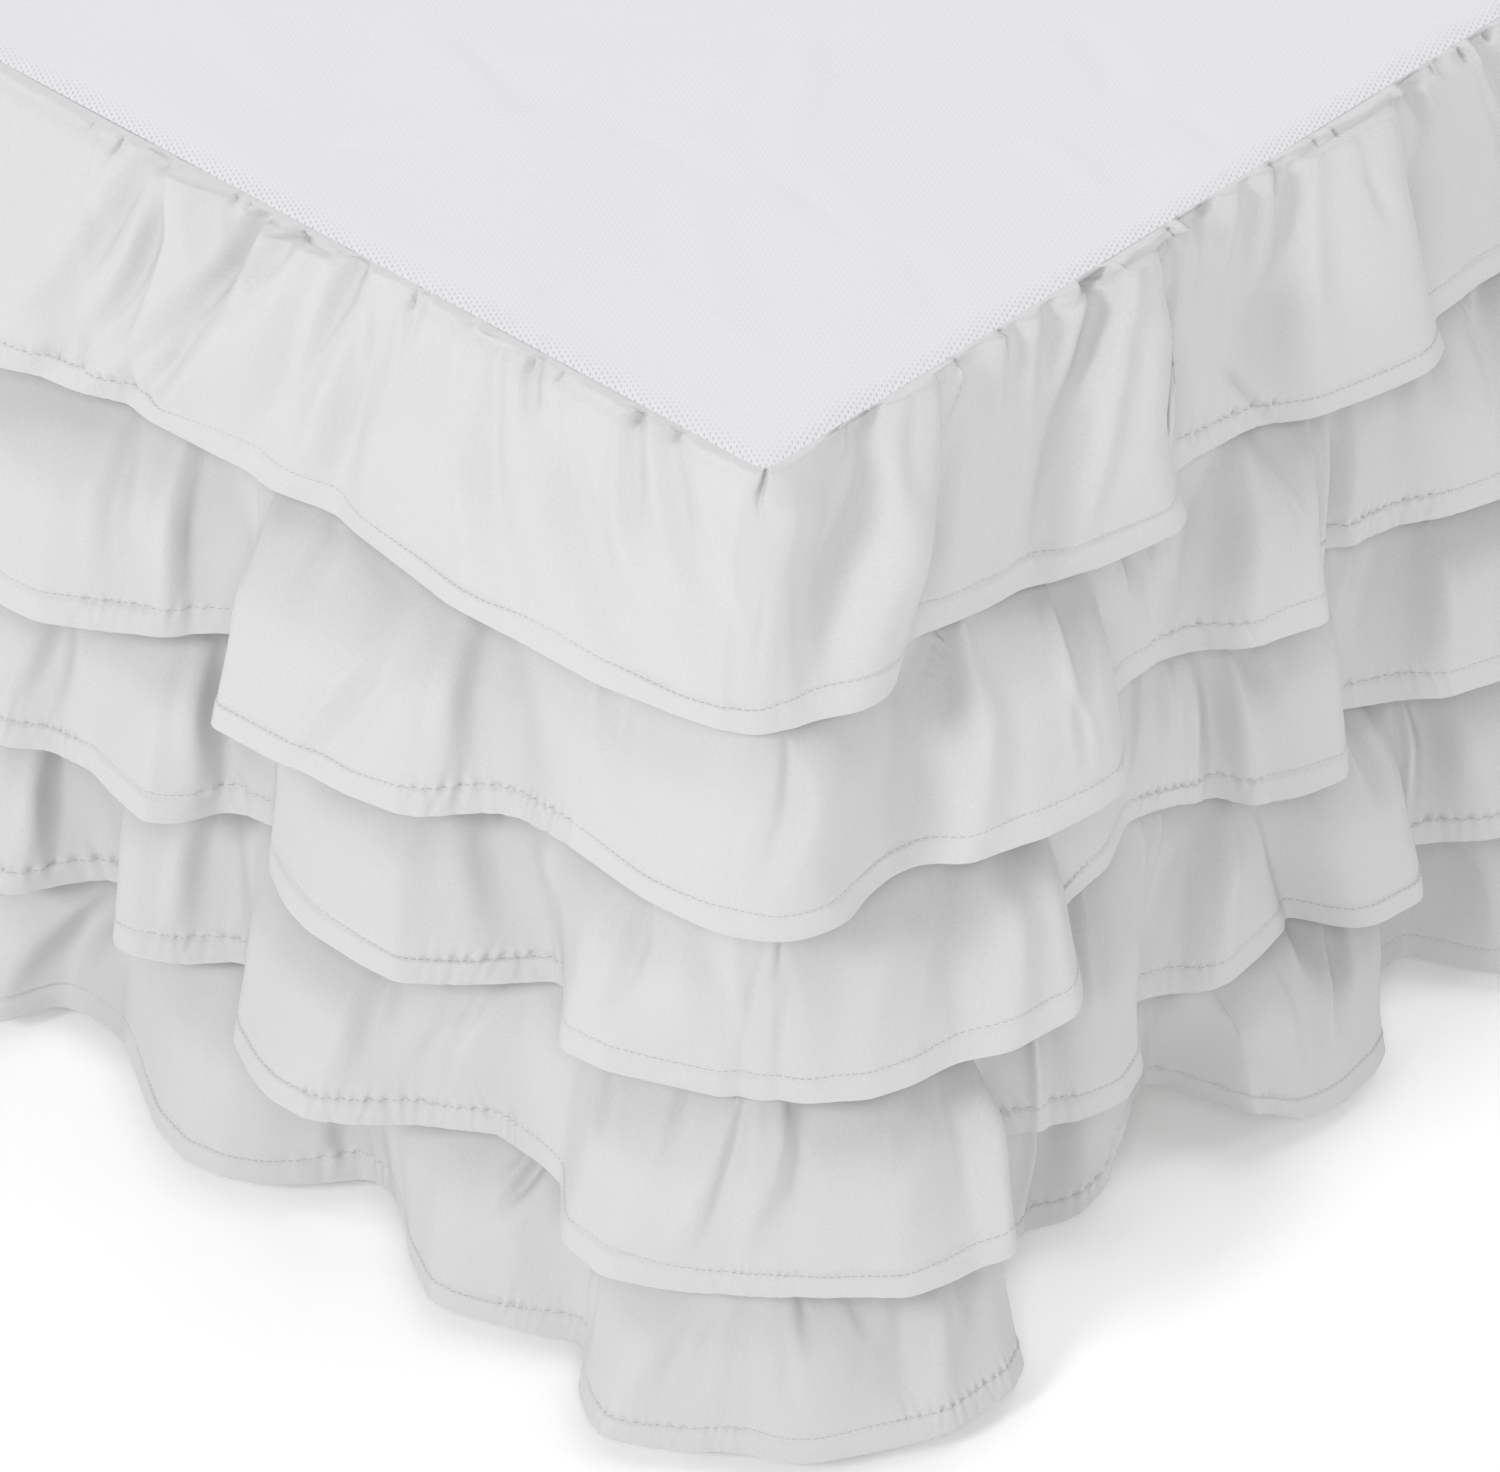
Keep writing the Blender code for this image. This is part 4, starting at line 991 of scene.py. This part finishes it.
def buildDropPanel(mat):
    # The seam line let straight down, with a slight wave, a hair inside the tiers' seams.
    d = dropPanel
    w = np.linspace(lineStart, lineEnd, int((lineEnd - lineStart) / d["step"]))
    arc = np.linspace(-arcLength / 2, arcLength / 2, 13)
    w = np.unique(np.concatenate([w, arc, arc - footLine - arcLength]))
    point, out = seamAt(w)
    down = np.linspace(0.002, d["drop"], 24)
    inset = d["inset"] + d["wave"] * np.sin(w[None, :] * 40) * (down[:, None] / d["drop"])
    x = point[None, :, 0] - out[None, :, 0] * inset
    y = point[None, :, 1] - out[None, :, 1] * inset
    z = np.broadcast_to(seamHeight - down[:, None], x.shape)
    uv = np.stack(np.broadcast_arrays(w[None, :], down[:, None]), -1)
    piece = meshFromGrid("drop_panel_cloth", np.stack([x, y, z], -1), uv, mat)
    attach(piece, "root")
    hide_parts("drop_panel")
    return piece


camera = {"azimuth": 43.0, "elevation": 37.78, "distance": 2.0, "lens": 137.5,
          "rightOfMiddle": 0.00524, "aboveMiddle": 0.09284}


def placeCamera():
    # The near corner of the seam stands at the given distance, a little right of and above the middle.
    a, e = radians(camera["azimuth"]), radians(camera["elevation"])
    right = Vector((cos(a), sin(a), 0))
    up = Vector((-sin(a) * sin(e), cos(a) * sin(e), cos(e)))
    back = Vector((sin(a) * cos(e), -cos(a) * cos(e), sin(e)))
    corner = Vector((halfWidth, footY, seamHeight))
    place = corner - right * camera["rightOfMiddle"] - up * camera["aboveMiddle"] + back * camera["distance"]
    data = bpy.data.cameras.new("camera")
    data.lens = camera["lens"]
    data.sensor_width = 36
    data.sensor_fit = "HORIZONTAL"
    data.clip_end = 60
    item = bpy.data.objects.new("camera", data)
    item.matrix_world = Matrix((right, up, back)).transposed().to_4x4()
    item.matrix_world.translation = place
    bpy.context.collection.objects.link(item)
    bpy.context.scene.camera = item


def addAreaLight(name, place, target, size, power):
    data = bpy.data.lights.new(name, "AREA")
    data.shape = "DISK"
    data.size = size
    data.energy = power
    item = bpy.data.objects.new(name, data)
    item.location = place
    item.rotation_euler = (Vector(target) - Vector(place)).to_track_quat("-Z", "Y").to_euler()
    bpy.context.collection.objects.link(item)


# Large soft lights, each five metres from the near corner: direction, size in metres, strength.
lights = {
    "left": ((-0.84, -0.42, 0.18), 0.9, 0.210),
    "frontHigh": ((-0.05, -0.90, 0.60), 1.2, 0.350),
    "nearCorner": ((0.54, -0.58, 0.61), 2.0, 0.350),
    "right": ((0.95, -0.20, 0.30), 1.0, 0.040),
    "farRight": ((0.57, 0.78, 0.26), 0.9, 0.135),
    "backRight": ((0.75, 0.55, 0.45), 1.5, 0.075),
    "top": ((0.10, 0.10, 1.00), 3.0, 0.175),
    "backLeft": ((-0.50, 0.60, 0.65), 2.0, 0.390),
}
studio = {"distance": 5.0, "around": 0.275, "floorGlow": 0.18, "floorHalf": 9.0}


def buildStudio():
    middle = Vector((halfWidth, footY, 0.3))
    for name, (direction, size, strength) in lights.items():
        place = middle + Vector(direction).normalized() * studio["distance"]
        addAreaLight(name, place, middle, size, strength * pi * pi * studio["distance"] ** 2)
    world = bpy.data.worlds.new("studio")
    bpy.context.scene.world = world
    world.use_nodes = True
    background = world.node_tree.nodes["Background"]
    background.inputs["Color"].default_value = (1.0, 1.0, 1.0, 1)
    background.inputs["Strength"].default_value = studio["around"]
    glow = {"Roughness": 0.9, "Emission Color": (1.0, 1.0, 1.0), "Emission Strength": studio["floorGlow"]}
    floorMat, _ = newMaterial("paleFloor", (0.95, 0.95, 0.95), glow)
    mesh = bpy.data.meshes.new("floor")
    half = studio["floorHalf"]
    corners = [(-half, -half, 0), (half, -half, 0), (half, half, 0), (-half, half, 0)]
    mesh.from_pydata(corners, [], [(0, 1, 2, 3)])
    mesh.materials.append(floorMat)
    floor = bpy.data.objects.new("floor", mesh)
    bpy.context.collection.objects.link(floor)
    bpy.context.scene.view_settings.view_transform = "Standard"
    bpy.context.scene.view_settings.look = "None"


def dressNode(name, mat):
    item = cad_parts[name]
    item.data.materials.clear()
    item.data.materials.append(mat)


colours = {
    "cotton": (0.60, 0.60, 0.60), "thread": (0.65, 0.65, 0.65), "meshKnit": (0.655, 0.655, 0.68),
    "panel": (0.58, 0.58, 0.58), "springCover": (0.62, 0.61, 0.59),
    "woodLight": (0.40, 0.27, 0.17), "woodDark": (0.24, 0.15, 0.09),
}

placeCamera()
buildStudio()
cotton = cottonMaterial("whiteCotton", colours["cotton"])
threadMat, _ = newMaterial("whiteThread", colours["thread"], {"Roughness": 0.6})
buildPlatform(meshKnitMaterial("whiteMeshKnit", colours["meshKnit"]))
buildDropPanel(cottonMaterial("panelCotton", colours["panel"]))
print("platform and drop panel made")
for number in (1, 2, 3, 4, 5):
    piece, line, normal, along = buildTier(number, cotton)
    buildStitches(f"tier_{number}_stitches", line, normal, along, threadMat)
    print("tier", number, "made, cloth length", round(float(along[-1]), 3), "quads", len(piece.data.polygons))
dressNode("box_spring", coverMaterial("springCover", colours["springCover"]))
wood = woodMaterial("legWood", colours["woodLight"], colours["woodDark"])
for number in (1, 2, 3, 4):
    dressNode(f"leg_{number}", wood)
print("bed dressed")
